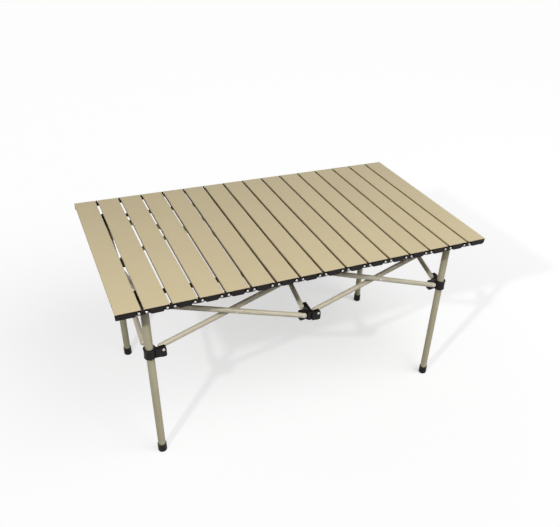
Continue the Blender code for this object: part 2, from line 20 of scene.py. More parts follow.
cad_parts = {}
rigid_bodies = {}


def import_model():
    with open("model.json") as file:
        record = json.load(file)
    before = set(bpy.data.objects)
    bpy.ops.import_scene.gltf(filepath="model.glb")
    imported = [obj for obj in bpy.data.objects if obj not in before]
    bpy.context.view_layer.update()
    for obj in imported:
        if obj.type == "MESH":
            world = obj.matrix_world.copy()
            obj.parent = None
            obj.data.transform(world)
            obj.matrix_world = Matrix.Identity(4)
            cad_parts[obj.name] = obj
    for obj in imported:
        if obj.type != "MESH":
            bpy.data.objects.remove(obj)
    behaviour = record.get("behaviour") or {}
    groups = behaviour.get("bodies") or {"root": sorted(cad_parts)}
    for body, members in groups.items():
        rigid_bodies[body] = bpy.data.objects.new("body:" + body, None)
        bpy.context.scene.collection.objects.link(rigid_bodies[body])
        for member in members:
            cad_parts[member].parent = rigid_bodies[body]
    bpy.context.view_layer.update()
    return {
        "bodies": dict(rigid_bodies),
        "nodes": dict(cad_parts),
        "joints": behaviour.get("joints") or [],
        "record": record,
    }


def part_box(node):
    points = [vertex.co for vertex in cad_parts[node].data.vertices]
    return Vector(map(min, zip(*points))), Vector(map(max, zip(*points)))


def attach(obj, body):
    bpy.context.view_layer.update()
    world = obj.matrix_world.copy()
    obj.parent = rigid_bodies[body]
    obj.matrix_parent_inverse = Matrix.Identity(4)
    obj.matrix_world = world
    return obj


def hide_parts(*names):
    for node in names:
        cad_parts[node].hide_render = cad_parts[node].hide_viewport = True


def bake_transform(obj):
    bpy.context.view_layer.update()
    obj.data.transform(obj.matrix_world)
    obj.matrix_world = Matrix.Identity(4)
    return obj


LOG = logging.getLogger("camp_table")

Point = tuple[float, float]
Range = tuple[float, float]
Spot = tuple[float, float, float]
Colour = tuple[float, float, float]
MM = 0.001  # a millimetre in metres

# Edges that turn by more than this many degrees stay sharp, on round pieces and on crisp ones
ROUND_PIECE = 50.0
CRISP_PIECE = 60.0


class Edge(Enum):
    """An edge of the table, with a sign as its value."""

    @property
    def word(self) -> str:
        """The name that the pieces of this edge carry."""
        return self.name.lower()


class Side(Edge):
    """The long sides of the table, with the sign of their y."""

    FRONT = -1
    REAR = 1


class End(Edge):
    """The short ends of the table, with the sign of their x."""

    LEFT = -1
    RIGHT = 1


def table_corners() -> Iterator[tuple[Side, End, str]]:
    """Every corner of the table, with the name that its pieces carry."""
    for side in Side:
        for end in End:
            yield side, end, f"{side.word}_{end.word}"


class Axis(Enum):
    """The way that an outline is pushed or an arm runs."""

    X = 0
    Y = 1
    Z = 2


class Slot(Enum):
    """The material slots of the record."""

    SLAT = "slat_paint"
    TUBE = "tube_paint"
    MOULDING = "black_moulding"
    STEEL = "rivet_steel"


class Field:
    """A value that varies over a surface; arithmetic on it adds the nodes that work it out."""

    def __init__(self, graph: Graph, socket: bpy.types.NodeSocket) -> None:
        """Wrap a socket of a graph."""
        self.graph = graph
        self.socket = socket

    def _with(self, operation: str, *values: Value) -> Field:
        """Add a Math node, or a Vector Math node if this value is a vector or a colour."""
        kind = "ShaderNodeMath" if self.socket.type == "VALUE" else "ShaderNodeVectorMath"
        return self.graph.node(kind, {"operation": operation}, dict(enumerate(values)))

    def __add__(self, other: Value) -> Field:
        """This plus the other."""
        return self._with("ADD", self, other)

    def __radd__(self, other: Value) -> Field:
        """The other plus this."""
        return self._with("ADD", other, self)

    def __sub__(self, other: Value) -> Field:
        """This less the other."""
        return self._with("SUBTRACT", self, other)

    def __rsub__(self, other: Value) -> Field:
        """The other less this."""
        return self._with("SUBTRACT", other, self)

    def __mul__(self, other: Value) -> Field:
        """This times the other."""
        return self._with("MULTIPLY", self, other)

    def __rmul__(self, other: Value) -> Field:
        """The other times this."""
        return self._with("MULTIPLY", other, self)

    def __truediv__(self, other: Value) -> Field:
        """This divided by the other."""
        return self._with("DIVIDE", self, other)

    def __rtruediv__(self, other: Value) -> Field:
        """The other divided by this."""
        return self._with("DIVIDE", other, self)

    def __abs__(self) -> Field:
        """This without its sign."""
        return self._with("ABSOLUTE", self)

    def fraction(self) -> Field:
        """What is left of this number above the whole number below it."""
        return self._with("FRACT", self)

    def whole(self) -> Field:
        """The whole number below this one."""
        return self._with("FLOOR", self)

    def sine(self) -> Field:
        """The sine of this number."""
        return self._with("SINE", self)

    def at_most(self, limit: float) -> Field:
        """This number, or the limit where this is more."""
        return self._with("MINIMUM", self, limit)

    def measured(self, operation: str, *others: Value) -> Field:
        """The number that a Vector Math operation gives for this vector and any others."""
        settings, inputs = {"operation": operation}, dict(enumerate((self, *others)))
        return self.graph.node("ShaderNodeVectorMath", settings, inputs, 1)

    def step(self, low: float, high: float) -> Field:
        """A smooth rise from 0 at low to 1 at high, or a fall where high is below low."""
        settings = {"interpolation_type": "SMOOTHSTEP"}
        inputs = {"Value": self, "From Min": low, "From Max": high}
        return self.graph.node("ShaderNodeMapRange", settings, inputs)


Value = Field | float | Sequence[float]


class Graph:
    """The node tree of one material or of the world."""

    def __init__(self, tree: bpy.types.NodeTree) -> None:
        """Take over a tree and empty it."""
        self.tree = tree
        tree.nodes.clear()

    def node(
        self,
        kind: str,
        settings: dict[str, object] | None = None,
        inputs: dict[str | int, Value] | None = None,
        output: str | int = 0,
    ) -> Field:
        """Make a node.

        Args:
            kind: The node's type.
            settings: Its properties, which are set first.
            inputs: Values or links for its sockets, by name or number.
            output: The socket that is returned.

        Returns:
            The output, ready for arithmetic.
        """
        made = self.tree.nodes.new(kind)
        for name, value in (settings or {}).items():
            setattr(made, name, value)
        for name, value in (inputs or {}).items():
            self.feed(made.inputs[name], value)
        return Field(self, made.outputs[output] if len(made.outputs) else None)

    def feed(self, socket: bpy.types.NodeSocket, value: Value) -> None:
        """Link a varying value to a socket, or set a constant on the socket itself.

        Args:
            socket: The socket.
            value: The value.
        """
        if isinstance(value, Field):
            self.tree.links.new(value.socket, socket)
        elif isinstance(value, (int, float)):
            socket.default_value = value
        else:
            size = len(socket.default_value)
            socket.default_value = (*value, 1.0)[:size]

    def place(self) -> Field:
        """The point on the surface, in metres, as the piece stands at rest."""
        return self.node("ShaderNodeTexCoord", output="Object")

    def parts(self, vector: Field) -> tuple[Field, Field, Field]:
        """The x, y and z of a vector."""
        made = self.node("ShaderNodeSeparateXYZ", inputs={0: vector})
        outputs = made.socket.node.outputs
        return Field(self, outputs[0]), Field(self, outputs[1]), Field(self, outputs[2])

    def noise(self, where: Field, size: float, detail: float = 2.0, rough: float = 0.5) -> Field:
        """Cloudy noise from 0 to 1.

        Args:
            where: The point, in metres.
            size: How large its clouds are, in metres.
            detail: How many finer layers it has.
            rough: How strong they are.

        Returns:
            The noise.
        """
        inputs = {"Vector": where, "Scale": 1 / size, "Detail": detail, "Roughness": rough}
        return self.node("ShaderNodeTexNoise", None, inputs)

    def cells(self, where: Field, size: float) -> Field:
        """The distance from the middle of cells of a size, in metres, from 0 to about 1."""
        return self.node("ShaderNodeTexVoronoi", None, {"Vector": where, "Scale": 1 / size})

    def chance(self, number: Field) -> Field:
        """A random number from 0 to 1 for each whole number."""
        return self.node("ShaderNodeTexWhiteNoise", {"noise_dimensions": "1D"}, {"W": number})

    def mix(self, mask: Value, first: Value, second: Value) -> Field:
        """The first colour where the mask is 0, and the second where it is 1."""
        settings = {"data_type": "RGBA", "clamp_factor": True}
        return self.node("ShaderNodeMix", settings, {0: mask, 6: first, 7: second}, 2)

    def bump(self, height: Field, depth: float, strength: float = 1.0) -> Field:
        """A surface normal for a height from 0 to 1, with its depth in metres."""
        inputs = {"Height": height, "Distance": depth, "Strength": strength}
        return self.node("ShaderNodeBump", None, inputs)

    def surface(self, inputs: dict[str | int, Value]) -> None:
        """Finish the tree with a Principled shader."""
        shader = self.node("ShaderNodeBsdfPrincipled", None, inputs)
        self.node("ShaderNodeOutputMaterial", None, {"Surface": shader})


def new_material(name: str) -> tuple[bpy.types.Material, Graph]:
    """An empty material and the graph of its nodes."""
    made = bpy.data.materials.new(name)
    made.use_nodes = True
    return made, Graph(made.node_tree)


@dataclass(frozen=True)
class PowderCoat:
    """Sand-coloured powder coat on the slats, with a fine orange peel and a pearl fleck.

    Each slat has a tone of its own. Its rolled edges, which begin and are full at the two shares
    of the pitch that rim gives, are worn bare in spots. Painted shade darkens the walls that face
    each other across a gap, between two depths below the top, standing for the shade in the gaps.
    """

    colour: Colour = (0.620, 0.522, 0.318)
    shade: Colour = (0.570, 0.476, 0.290)
    bare: Colour = (0.74, 0.72, 0.68)
    # painted shade: the dark colour of the gap walls, standing for the shade inside the gaps
    grime: Colour = (0.140, 0.100, 0.058)
    height: float = 0.490
    pitch: float = 0.05971875
    roughness: float = 0.44
    metallic: float = 0.05
    gloss: float = 0.28
    peel: float = 0.9 * MM
    fleck: float = 0.35 * MM
    cloud: float = 0.11
    lot_spread: float = 0.3
    rim: Range = (0.445, 0.4525)
    rim_depth: float = 1.5 * MM
    inner_reach: Range = (0.4735, 0.4715)
    # the depths below the top over which the painted gap shade comes in
    grime_depth: Range = (0.8 * MM, 7.0 * MM)
    hair: float = 1.2 * MM
    peel_depth: float = 0.02 * MM

    def make(self) -> bpy.types.Material:
        """Make the material.

        Returns:
            The material.
        """
        made, graph = new_material("powder coat")
        where = graph.place()
        x, y, z = graph.parts(where)
        column = x / self.pitch
        lot = graph.chance(column.whole())
        cloud = graph.noise(where, self.cloud, 3.0)
        fleck = graph.noise(where, self.fleck, 1.0)
        tone = (cloud - 0.5) * 0.5 + (lot - 0.5) * self.lot_spread + (fleck - 0.5) * 0.5
        colour = graph.mix((tone + 0.5).step(0.0, 1.0), self.shade, self.colour)
        across = column.fraction() - 0.5
        rim = abs(across).step(*self.rim) * z.step(self.height - self.rim_depth, self.height)
        worn = rim * graph.noise(where, 6 * MM, 3.0, 0.7).step(0.50, 0.62)
        facing = Field(graph, graph.node("ShaderNodeNewGeometry").socket.node.outputs["True Normal"])
        outwards = (graph.parts(facing)[0] * across).step(0.10, 0.30)
        inner = abs(x).step(*self.inner_reach)
        deep = z.step(*(self.height - depth for depth in self.grime_depth))
        # painted shade on the walls that face across a gap: darker with depth, and rougher and less
        # metallic there
        gap_shade_mask = outwards * inner * deep * (0.88 + graph.noise(where, 0.01, 3.0) * 0.12)
        hair = graph.noise(where * (1.0, 0.03, 1.0), self.hair, 2.0).step(0.70, 0.76)
        smear = graph.noise(where, 0.05, 4.0, 0.65)
        height = graph.noise(where, self.peel, 2.0) + graph.noise(where, 0.08, 1.0) * 1.5
        graph.surface({
            "Base Color": graph.mix(gap_shade_mask, graph.mix(worn * 0.45, colour, self.bare), self.grime),
            "Roughness": self.roughness + (smear - 0.5) * 0.12 - hair * 0.05 - worn * 0.12 + gap_shade_mask * 0.4,
            "Metallic": (self.metallic + worn * 0.4) * (1.0 - gap_shade_mask),
            "Specular IOR Level": self.gloss,
            "Normal": graph.bump(height, self.peel_depth, 0.6),
        })
        return made


@dataclass(frozen=True)
class TubeEnamel:
    """Pale sand enamel on the drawn tubes, with faint draw lines and rubbed ends."""

    colour: Colour = (0.630, 0.575, 0.395)
    shade: Colour = (0.530, 0.487, 0.330)
    roughness: float = 0.36
    metallic: float = 0.05
    gloss: float = 0.28
    grain: float = 0.7 * MM
    drawn_out: float = 0.02
    fleck: float = 0.4 * MM
    peel: float = 1.1 * MM
    peel_depth: float = 0.02 * MM

    def make(self, name: str, along: Axis) -> bpy.types.Material:
        """Make the material.

        Args:
            name: Its name.
            along: The way that the tube runs in its own mesh.

        Returns:
            The material.
        """
        made, graph = new_material(name)
        where = graph.place()
        stretch = [1.0, 1.0, 1.0]
        stretch[along.value] = self.drawn_out
        lines = graph.noise(where * stretch, self.grain, 3.0)
        cloud = graph.noise(where, 0.06, 3.0)
        fleck = graph.noise(where, self.fleck, 1.0)
        rub = graph.noise(where, 0.02, 5.0, 0.7).step(0.60, 0.74)
        tone = (cloud - 0.5) * 1.2 + (lines - 0.5) * 0.5 + (fleck - 0.5) * 0.4 + 0.5
        height = lines * 0.5 + graph.noise(where, self.peel, 2.0)
        graph.surface({
            "Base Color": graph.mix(tone.step(0.0, 1.0), self.shade, self.colour),
            "Roughness": self.roughness + (lines - 0.5) * 0.10 + rub * 0.12,
            "Metallic": self.metallic,
            "Specular IOR Level": self.gloss,
            "Normal": graph.bump(height, self.peel_depth, 0.5),
        })
        return made


@dataclass(frozen=True)
class BarEnamel(TubeEnamel):
    """The legs' tube enamel for the bars, glossier, and paler as painted light on their upper sides."""

    colour: Colour = (0.73, 0.665, 0.51)
    shade: Colour = (0.64, 0.585, 0.44)
    roughness: float = 0.30


@dataclass(frozen=True)
class BlackNylon:
    """Black moulded nylon with a spark-grained face and a little pale dust."""

    colour: Colour = (0.009, 0.007, 0.007)
    dust: Colour = (0.040, 0.032, 0.025)
    roughness: float = 0.46
    gloss: float = 0.2
    grain: float = 0.45 * MM
    grain_depth: float = 0.03 * MM

    def make(self) -> bpy.types.Material:
        """Make the material.

        Returns:
            The material.
        """
        made, graph = new_material("black nylon")
        where = graph.place()
        grain = graph.cells(where, self.grain)
        flow = graph.noise(where, 0.012, 4.0, 0.6)
        settled = graph.noise(where, 0.006, 5.0, 0.7).step(0.50, 0.78)
        graph.surface({
            "Base Color": graph.mix(settled * 0.45, self.colour, self.dust),
            "Roughness": self.roughness + (flow - 0.5) * 0.22 + settled * 0.08,
            "Specular IOR Level": self.gloss,
            "Normal": graph.bump(grain, self.grain_depth, 0.7),
        })
        return made


@dataclass(frozen=True)
class PlatedSteel:
    """Bright plated steel of the rivets, with turning marks and dull specks."""

    colour: Colour = (0.56, 0.55, 0.54)
    dull: Colour = (0.30, 0.29, 0.27)
    roughness: float = 0.28
    speck: float = 1.1 * MM
    mark: float = 0.25 * MM
    mark_depth: float = 0.01 * MM

    def make(self) -> bpy.types.Material:
        """Make the material.

        Returns:
            The material.
        """
        made, graph = new_material("plated steel")
        where = graph.place()
        specks = graph.noise(where, self.speck, 4.0, 0.65)
        fine = graph.noise(where, self.mark, 2.0)
        graph.surface({
            "Base Color": graph.mix(specks.step(0.45, 0.80), self.colour, self.dull),
            "Roughness": self.roughness + specks.step(0.4, 0.9) * 0.25 + (fine - 0.5) * 0.08,
            "Metallic": 1.0,
            "Normal": graph.bump(fine, self.mark_depth, 0.5),
        })
        return made


@dataclass(frozen=True)
class Webbing:
    """Black woven tape: a plain rib weave."""

    colour: Colour = (0.014, 0.013, 0.013)
    lit: Colour = (0.055, 0.050, 0.046)
    rib: float = 1.2 * MM
    yarn: float = 0.9 * MM
    hair: float = 0.3 * MM
    weave_depth: float = 0.25 * MM
    sheen: float = 0.2

    def make(self) -> bpy.types.Material:
        """Make the material.

        Returns:
            The material.
        """
        made, graph = new_material("black webbing")
        where = graph.place()
        x, y, _ = graph.parts(where)
        across = (x * (2 * pi / self.rib)).sine()
        along = (y * (2 * pi / self.yarn)).sine()
        weave = across * along * 0.5 + 0.5
        fuzz = graph.noise(where, self.hair, 3.0)
        graph.surface({
            "Base Color": graph.mix(weave * 0.5 + fuzz * 0.4, self.colour, self.lit),
            "Roughness": 0.72 + fuzz * 0.2,
            "Normal": graph.bump(weave + fuzz * 0.4, self.weave_depth, 0.8),
            "Sheen Weight": self.sheen,
        })
        return made


@dataclass(frozen=True)
class Finish:
    """A material, and the slot of the record that it stands for."""

    material: bpy.types.Material
    slot: Slot


class Finishes:
    """Every finish of the table, made once."""

    def __init__(self) -> None:
        """Make the materials."""
        self.slat = Finish(PowderCoat().make(), Slot.SLAT)
        self.leg = Finish(TubeEnamel().make("leg enamel", Axis.Z), Slot.TUBE)
        # the bars get a paler copy of the tube enamel: painted light for the light on their upper sides
        self.bar = Finish(BarEnamel().make("bar enamel", Axis.X), Slot.TUBE)
        self.nylon = Finish(BlackNylon().make(), Slot.MOULDING)
        self.steel = Finish(PlatedSteel().make(), Slot.STEEL)
        self.webbing = Finish(Webbing().make(), Slot.MOULDING)


def arc(centre: Point, radius: float, first: float, last: float, steps: int) -> list[Point]:
    """Points on an arc.

    Args:
        centre: Its centre.
        radius: Its radius.
        first: The angle of its first point, in degrees.
        last: The angle of its last point, in degrees.
        steps: How many stretches it has.

    Returns:
        The points, both ends included.
    """
    turns = [radians(first + (last - first) * step / steps) for step in range(steps + 1)]
    return [(centre[0] + radius * cos(turn), centre[1] + radius * sin(turn)) for turn in turns]


def rounded_box(low: Point, high: Point, radius: float, steps: int = 4) -> list[Point]:
    """The outline of a rectangle with round corners, anticlockwise from its lower right.

    Args:
        low: Its lower left corner.
        high: Its upper right corner.
        radius: The radius of its corners.
        steps: How many stretches a corner has.

    Returns:
        The outline.
    """
    left, bottom = low[0] + radius, low[1] + radius
    right, top = high[0] - radius, high[1] - radius
    return [
        *arc((right, bottom), radius, -90, 0, steps),
        *arc((right, top), radius, 0, 90, steps),
        *arc((left, top), radius, 90, 180, steps),
        *arc((left, bottom), radius, 180, 270, steps),
    ]


def stand(name: str, data: bpy.types.ID) -> bpy.types.Object:
    """A new object with its data, put into the scene."""
    made = bpy.data.objects.new(name, data)
    bpy.context.scene.collection.objects.link(made)
    return made


class Workpiece:
    """A mesh object on the bench, with the operations that shape it."""

    SAME = 0.002 * MM

    def __init__(self, name: str, shape: bmesh.types.BMesh) -> None:
        """Make the object from a bmesh, which is used up.

        Args:
            name: The object's name.
            shape: Its faces, closed.
        """
        bmesh.ops.recalc_face_normals(shape, faces=shape.faces)
        mesh = bpy.data.meshes.new(name)
        shape.to_mesh(mesh)
        shape.free()
        self.object = stand(name, mesh)

    @classmethod
    def prism(
        cls, name: str, outline: Sequence[Point], axis: Axis, low: float, high: float
    ) -> Workpiece:
        """A flat outline pushed along an axis.

        Args:
            name: The piece's name.
            outline: Pairs (y, z) for axis X, (x, z) for Y and (x, y) for Z.
            axis: The way it is pushed.
            low: Where it starts.
            high: Where it ends.

        Returns:
            The piece.
        """
        shape = bmesh.new()
        corners = [cls._spot(axis, low, a, b) for a, b in outline]
        face = shape.faces.new([shape.verts.new(corner) for corner in corners])
        pushed = bmesh.ops.extrude_face_region(shape, geom=[face])
        moved = [part for part in pushed["geom"] if isinstance(part, bmesh.types.BMVert)]
        bmesh.ops.translate(shape, verts=moved, vec=Vector(cls._spot(axis, high - low, 0.0, 0.0)))
        return cls(name, shape)

    @staticmethod
    def _spot(axis: Axis, along: float, a: float, b: float) -> list[float]:
        """The point at a distance along an axis, with its other two coordinates in order."""
        spot = [a, b]
        spot.insert(axis.value, along)
        return spot

    @classmethod
    def turned(cls, name: str, profile: Sequence[Point], segments: int) -> Workpiece:
        """A profile turned about Z.

        Args:
            name: The piece's name.
            profile: Pairs (radius, z); it is closed, or both of its ends are on the axis.
            segments: How many flats go round.

        Returns:
            The piece.
        """
        shape = bmesh.new()
        points = [shape.verts.new((radius, 0, z)) for radius, z in profile]
        edges = [shape.edges.new(pair) for pair in zip(points, points[1:])]
        if profile[0][0] > 0:
            edges.append(shape.edges.new((points[-1], points[0])))
        bmesh.ops.spin(
            shape, geom=points + edges, cent=(0, 0, 0), axis=(0, 0, 1), angle=2 * pi,
            steps=segments, use_merge=True,
        )
        bmesh.ops.remove_doubles(shape, verts=shape.verts, dist=cls.SAME)
        return cls(name, shape)

    @classmethod
    def joined(cls, name: str, parts: Iterable[Workpiece]) -> Workpiece:
        """Several pieces as one object whose bodies stay apart; the pieces are used up.

        Args:
            name: The new piece's name.
            parts: The pieces.

        Returns:
            The new piece.
        """
        shape = bmesh.new()
        for part in parts:
            shape.from_mesh(part.object.data)
            part.drop()
        return cls(name, shape)

    def drop(self) -> None:
        """Remove the object."""
        bpy.data.meshes.remove(self.object.data)

    def renamed(self, name: str) -> Workpiece:
        """Give the piece another name."""
        self.object.name = name
        return self

    def copy(self, name: str, turn: Matrix) -> Workpiece:
        """The same piece again, moved by a matrix.

        Args:
            name: The copy's name.
            turn: The matrix.

        Returns:
            The copy.
        """
        shape = bmesh.new()
        shape.from_mesh(self.object.data)
        shape.transform(turn)
        return Workpiece(name, shape)

    def moved(self, turn: Matrix) -> Workpiece:
        """Move the mesh by a matrix."""
        self.object.data.transform(turn)
        return self

    def _settle(self) -> None:
        """Apply the modifiers."""
        bpy.context.view_layer.update()
        seen = self.object.evaluated_get(bpy.context.evaluated_depsgraph_get())
        made = bpy.data.meshes.new_from_object(seen)
        self.object.modifiers.clear()
        old = self.object.data
        self.object.data = made
        bpy.data.meshes.remove(old)

    def _combine(self, others: Iterable[Workpiece], operation: str) -> Workpiece:
        """Unite or cut with other pieces, which are used up.

        Args:
            others: The other pieces.
            operation: UNION or DIFFERENCE.

        Returns:
            This piece.
        """
        others = list(others)
        for other in others:
            step = self.object.modifiers.new("combine", "BOOLEAN")
            step.operation = operation
            step.solver = "EXACT"
            step.object = other.object
        self._settle()
        for other in others:
            other.drop()
        return self

    def united(self, *others: Workpiece) -> Workpiece:
        """Unite with other pieces, which are used up."""
        return self._combine(others, "UNION")

    def cut(self, *others: Workpiece) -> Workpiece:
        """Cut other pieces out, which are used up."""
        return self._combine(others, "DIFFERENCE")

    def thickened(self, thickness: float) -> Workpiece:
        """Give a sheet its thickness, inwards from its outer face.

        Args:
            thickness: The thickness.

        Returns:
            This piece.
        """
        step = self.object.modifiers.new("thickness", "SOLIDIFY")
        step.thickness = thickness
        step.offset = -1.0
        step.use_even_offset = True
        self._settle()
        return self

    def rounded(self, width: float, angle: float = 40.0) -> Workpiece:
        """Round the edges that turn by more than an angle, with two faces each.

        Args:
            width: The width of the rounding.
            angle: The least angle that is rounded, in degrees.

        Returns:
            This piece.
        """
        step = self.object.modifiers.new("rounding", "BEVEL")
        step.width = width
        step.segments = 2
        step.limit_method = "ANGLE"
        step.angle_limit = radians(angle)
        self._settle()
        return self

    def moulded(self, voxel: float, smoothing: int, keep: float) -> Workpiece:
        """Melt overlapping closed shapes into one, with the soft edges of a moulding.

        Args:
            voxel: The grid that it is melted on.
            smoothing: How often it is smoothed.
            keep: The share of its faces that stays.

        Returns:
            This piece.
        """
        melt = self.object.modifiers.new("melt", "REMESH")
        melt.mode = "VOXEL"
        melt.voxel_size = voxel
        ease = self.object.modifiers.new("ease", "SMOOTH")
        ease.factor = 0.5
        ease.iterations = smoothing
        thin = self.object.modifiers.new("thin", "DECIMATE")
        thin.ratio = keep
        self._settle()
        return self

    def shaded(self, angle: float = 40.0) -> Workpiece:
        """Shade smooth, with flat faces kept flat and edges above an angle in degrees kept sharp.

        Args:
            angle: The angle, in degrees.

        Returns:
            This piece.
        """
        self.object.data.shade_smooth()
        self.object.data.set_sharp_from_angle(angle=radians(angle))
        step = self.object.modifiers.new("normals", "WEIGHTED_NORMAL")
        step.keep_sharp = True
        return self

    def fitted(self, finish: Finish, body: str, replaces: Sequence[str] = ()) -> bpy.types.Object:
        """Dress the piece and fix it to a body.

        Args:
            finish: Its finish.
            body: The body that it moves with.
            replaces: The nodes that it stands for.

        Returns:
            The object.
        """
        self._dress(finish, replaces)
        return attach(self.object, body)

    def bent(
        self, finish: Finish, bodies: tuple[str, str], ends: tuple[Vector, Vector]
    ) -> bpy.types.Object:
        """Dress the piece and bake its place into its mesh; it follows neither body.

        Args:
            finish: Its finish.
            bodies: Not used.
            ends: Not used.

        Returns:
            The object.
        """
        self._dress(finish, ())
        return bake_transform(self.object)

    def _dress(self, finish: Finish, replaces: Sequence[str]) -> None:
        """Give the piece its finish and hide the nodes that it stands for.

        Args:
            finish: Its finish.
            replaces: The nodes.
        """
        self.object.data.materials.clear()
        self.object.data.materials.append(finish.material)
        if replaces:
            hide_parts(*replaces)
        LOG.info("%s: %d faces", self.object.name, len(self.object.data.polygons))


@dataclass(frozen=True)
class Layout:
    """The places of the table's parts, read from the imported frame."""

    height: float
    half_length: float
    half_width: float
    leg_x: float
    leg_y: float
    leg_pivot_x: float
    hub_pivot_x: float
    cross_pivot_y: float
    top_z: float
    low_z: float

    @classmethod
    def read(cls, frame: dict) -> Layout:
        """Work the places out of the frame's boxes and joints.

        Args:
            frame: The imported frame.

        Returns:
            The places.
        """
        joints = {joint["name"]: joint["pos_m"] for joint in frame["joints"] if "pos_m" in joint}
        low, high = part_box("slat_16")
        leg_low, leg_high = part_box("leg_tube_rear_right")
        leg = (leg_low + leg_high) / 2
        collar = joints["collar_rear_right_turn"]
        return cls(
            height=high.z,
            half_length=high.x,
            half_width=high.y,
            leg_x=leg.x,
            leg_y=leg.y,
            leg_pivot_x=collar[0],
            hub_pivot_x=joints["rear_right_rising_bar_turn"][0],
            cross_pivot_y=-joints["middle_front_high_bar_turn"][1],
            top_z=joints["fold"][2],
            low_z=collar[2],
        )


@dataclass
class Assembly:
    """A group of the table's pieces, with the sizes that the groups share."""

    layout: Layout
    finishes: Finishes
    touch: float = 0.3 * MM
    leg_radius: float = 9.5 * MM
    along_arm: float = 12.0 * MM
    cross_arm: float = 8.0 * MM
    boss: float = 0.5 * MM


@dataclass
class Tabletop(Assembly):
    """The roll-up top: bent slats with end caps, pinned links and two webbing straps."""

    count: int = 16
    gap: float = 5.5 * MM
    sheet: float = 1.2 * MM
    depth: float = 16.2 * MM
    lean: float = 2.6 * MM
    lip: float = 5.0 * MM
    edge_radius: float = 2.0 * MM
    bend_radius: float = 1.6 * MM
    cap_inset: float = 1.3 * MM
    cap_depth: float = 16.4 * MM
    cap_side_depth: float = 12.5 * MM
    cap_back: float = 3.0 * MM
    plug: float = 12.0 * MM
    link: float = 2.2 * MM
    link_half_height: float = 4.8 * MM
    pin_drop: float = 10.0 * MM
    pin_inset: float = 5.25 * MM
    head_radius: float = 2.9 * MM
    strap_y: float = 0.1965
    strap_width: float = 20.0 * MM
    strap_thickness: float = 1.5 * MM
    strap_inset: float = 7.0 * MM
    strap_bevel: float = 1.2 * MM
    cap_slope: float = 3.0 * MM
    cap_corner: float = 2.0 * MM
    table_corner: float = 7.0 * MM
    plug_pocket: float = 8.0 * MM
    plug_rib: float = 1.8 * MM
    plug_bevel: float = 0.8 * MM
    sheet_rounding: float = 0.25 * MM
    cap_rounding: float = 0.45 * MM
    link_rounding: float = 0.35 * MM
    head_flats: int = 20

    @property
    def width(self) -> float:
        """The width of one slat."""
        return self.pitch - self.gap

    @property
    def pitch(self) -> float:
        """The distance from slat to slat."""
        return (2 * self.layout.half_length + self.gap) / self.count

    def middle(self, number: int) -> float:
        """The x of the middle of a slat, counted from 1 at the left end."""
        return (number - (self.count + 1) / 2) * self.pitch

    @property
    def link_back(self) -> float:
        """How far in from the end of a slat the back of its link is."""
        return self.cap_inset + self.link

    def build(self) -> None:
        """Build every slat with what it carries, and the straps between them."""
        sheet = self._sheet()
        links = self._links()
        straps = self._straps()
        for number in range(1, self.count + 1):
            body = f"slat_{number:02d}"
            place = Matrix.Translation((self.middle(number), 0, self.layout.height))
            first, last = number == 1, number == self.count
            sheet.copy(f"{body}_sheet", place).shaded().fitted(self.finishes.slat, body, [body])
            caps = self._caps(first, last).moved(place).rounded(self.cap_rounding)
            caps.shaded(CRISP_PIECE).renamed(f"{body}_end_caps").fitted(self.finishes.nylon, body)
            rivets = self._rivets(first, last).moved(place).shaded(ROUND_PIECE)
            rivets.renamed(f"{body}_rivets").fitted(self.finishes.steel, body)
            straps.copy(f"{body}_straps", place).shaded().fitted(self.finishes.webbing, body)
            if not last:
                pair = links.copy(f"{body}_links", place).shaded(CRISP_PIECE)
                pair.fitted(self.finishes.nylon, body)
                self._strap_bridge(number)
        for pattern in (sheet, links, straps):
            pattern.drop()

    def _sheet_outline(self) -> tuple[list[Point], list[bool]]:
        """The outer face of the bent sheet, from lip to lip.

        Returns:
            The points (x, z), and for each stretch whether it runs on over the end caps.
        """
        half = self.width / 2
        edge, bend = self.edge_radius, self.bend_radius
        foot = half - self.lean
        lean = degrees(atan2(self.lean, self.depth))
        right = [
            *arc((half - edge, -edge), edge, 90, -lean, 6),
            *arc((foot - bend, bend - self.depth), bend, -lean, -90, 4),
            (foot - self.lip, -self.depth),
        ]
        points = [(-x, z) for x, z in reversed(right)] + right
        over = [min(a[1], b[1]) >= -edge - self.touch for a, b in zip(points, points[1:])]
        return points, over

    def _sheet(self) -> Workpiece:
        """The bent sheet of one slat about its own middle, with its top at z = 0.

        Returns:
            The sheet.
        """
        points, over = self._sheet_outline()
        end = self.layout.half_width
        start = end - self.link_back - self.touch - self.cap_back / 2
        stations = [-end, *(start * share for share in (-1.0, -0.5, 0.0, 0.5, 1.0)), end]
        shape = bmesh.new()
        rows = [[shape.verts.new((x, y, z)) for x, z in points] for y in stations]
        last = len(stations) - 2
        for row, (near, far) in enumerate(zip(rows, rows[1:])):
            for column, runs_on in enumerate(over):
                if runs_on or 0 < row < last:
                    corners = (near[column], near[column + 1], far[column + 1], far[column])
                    shape.faces.new(corners)
        loose = [vert for vert in shape.verts if not vert.link_faces]
        bmesh.ops.delete(shape, geom=loose, context="VERTS")
        piece = Workpiece("sheet", shape)
        top = max(piece.object.data.polygons, key=lambda polygon: polygon.center.z)
        if top.normal.z < 0:
            piece.object.data.flip_normals()
        return piece.thickened(self.sheet).rounded(self.sheet_rounding, 60.0)

    def _plate(
        self, name: str, outline: Sequence[Point], side: Side, start: float, stop: float
    ) -> Workpiece:
        """An outline in x and z, pushed between two distances in from an end of the slat."""
        ends = (side.value * (self.layout.half_width - inset) for inset in (start, stop))
        return Workpiece.prism(name, outline, Axis.Y, *sorted(ends))

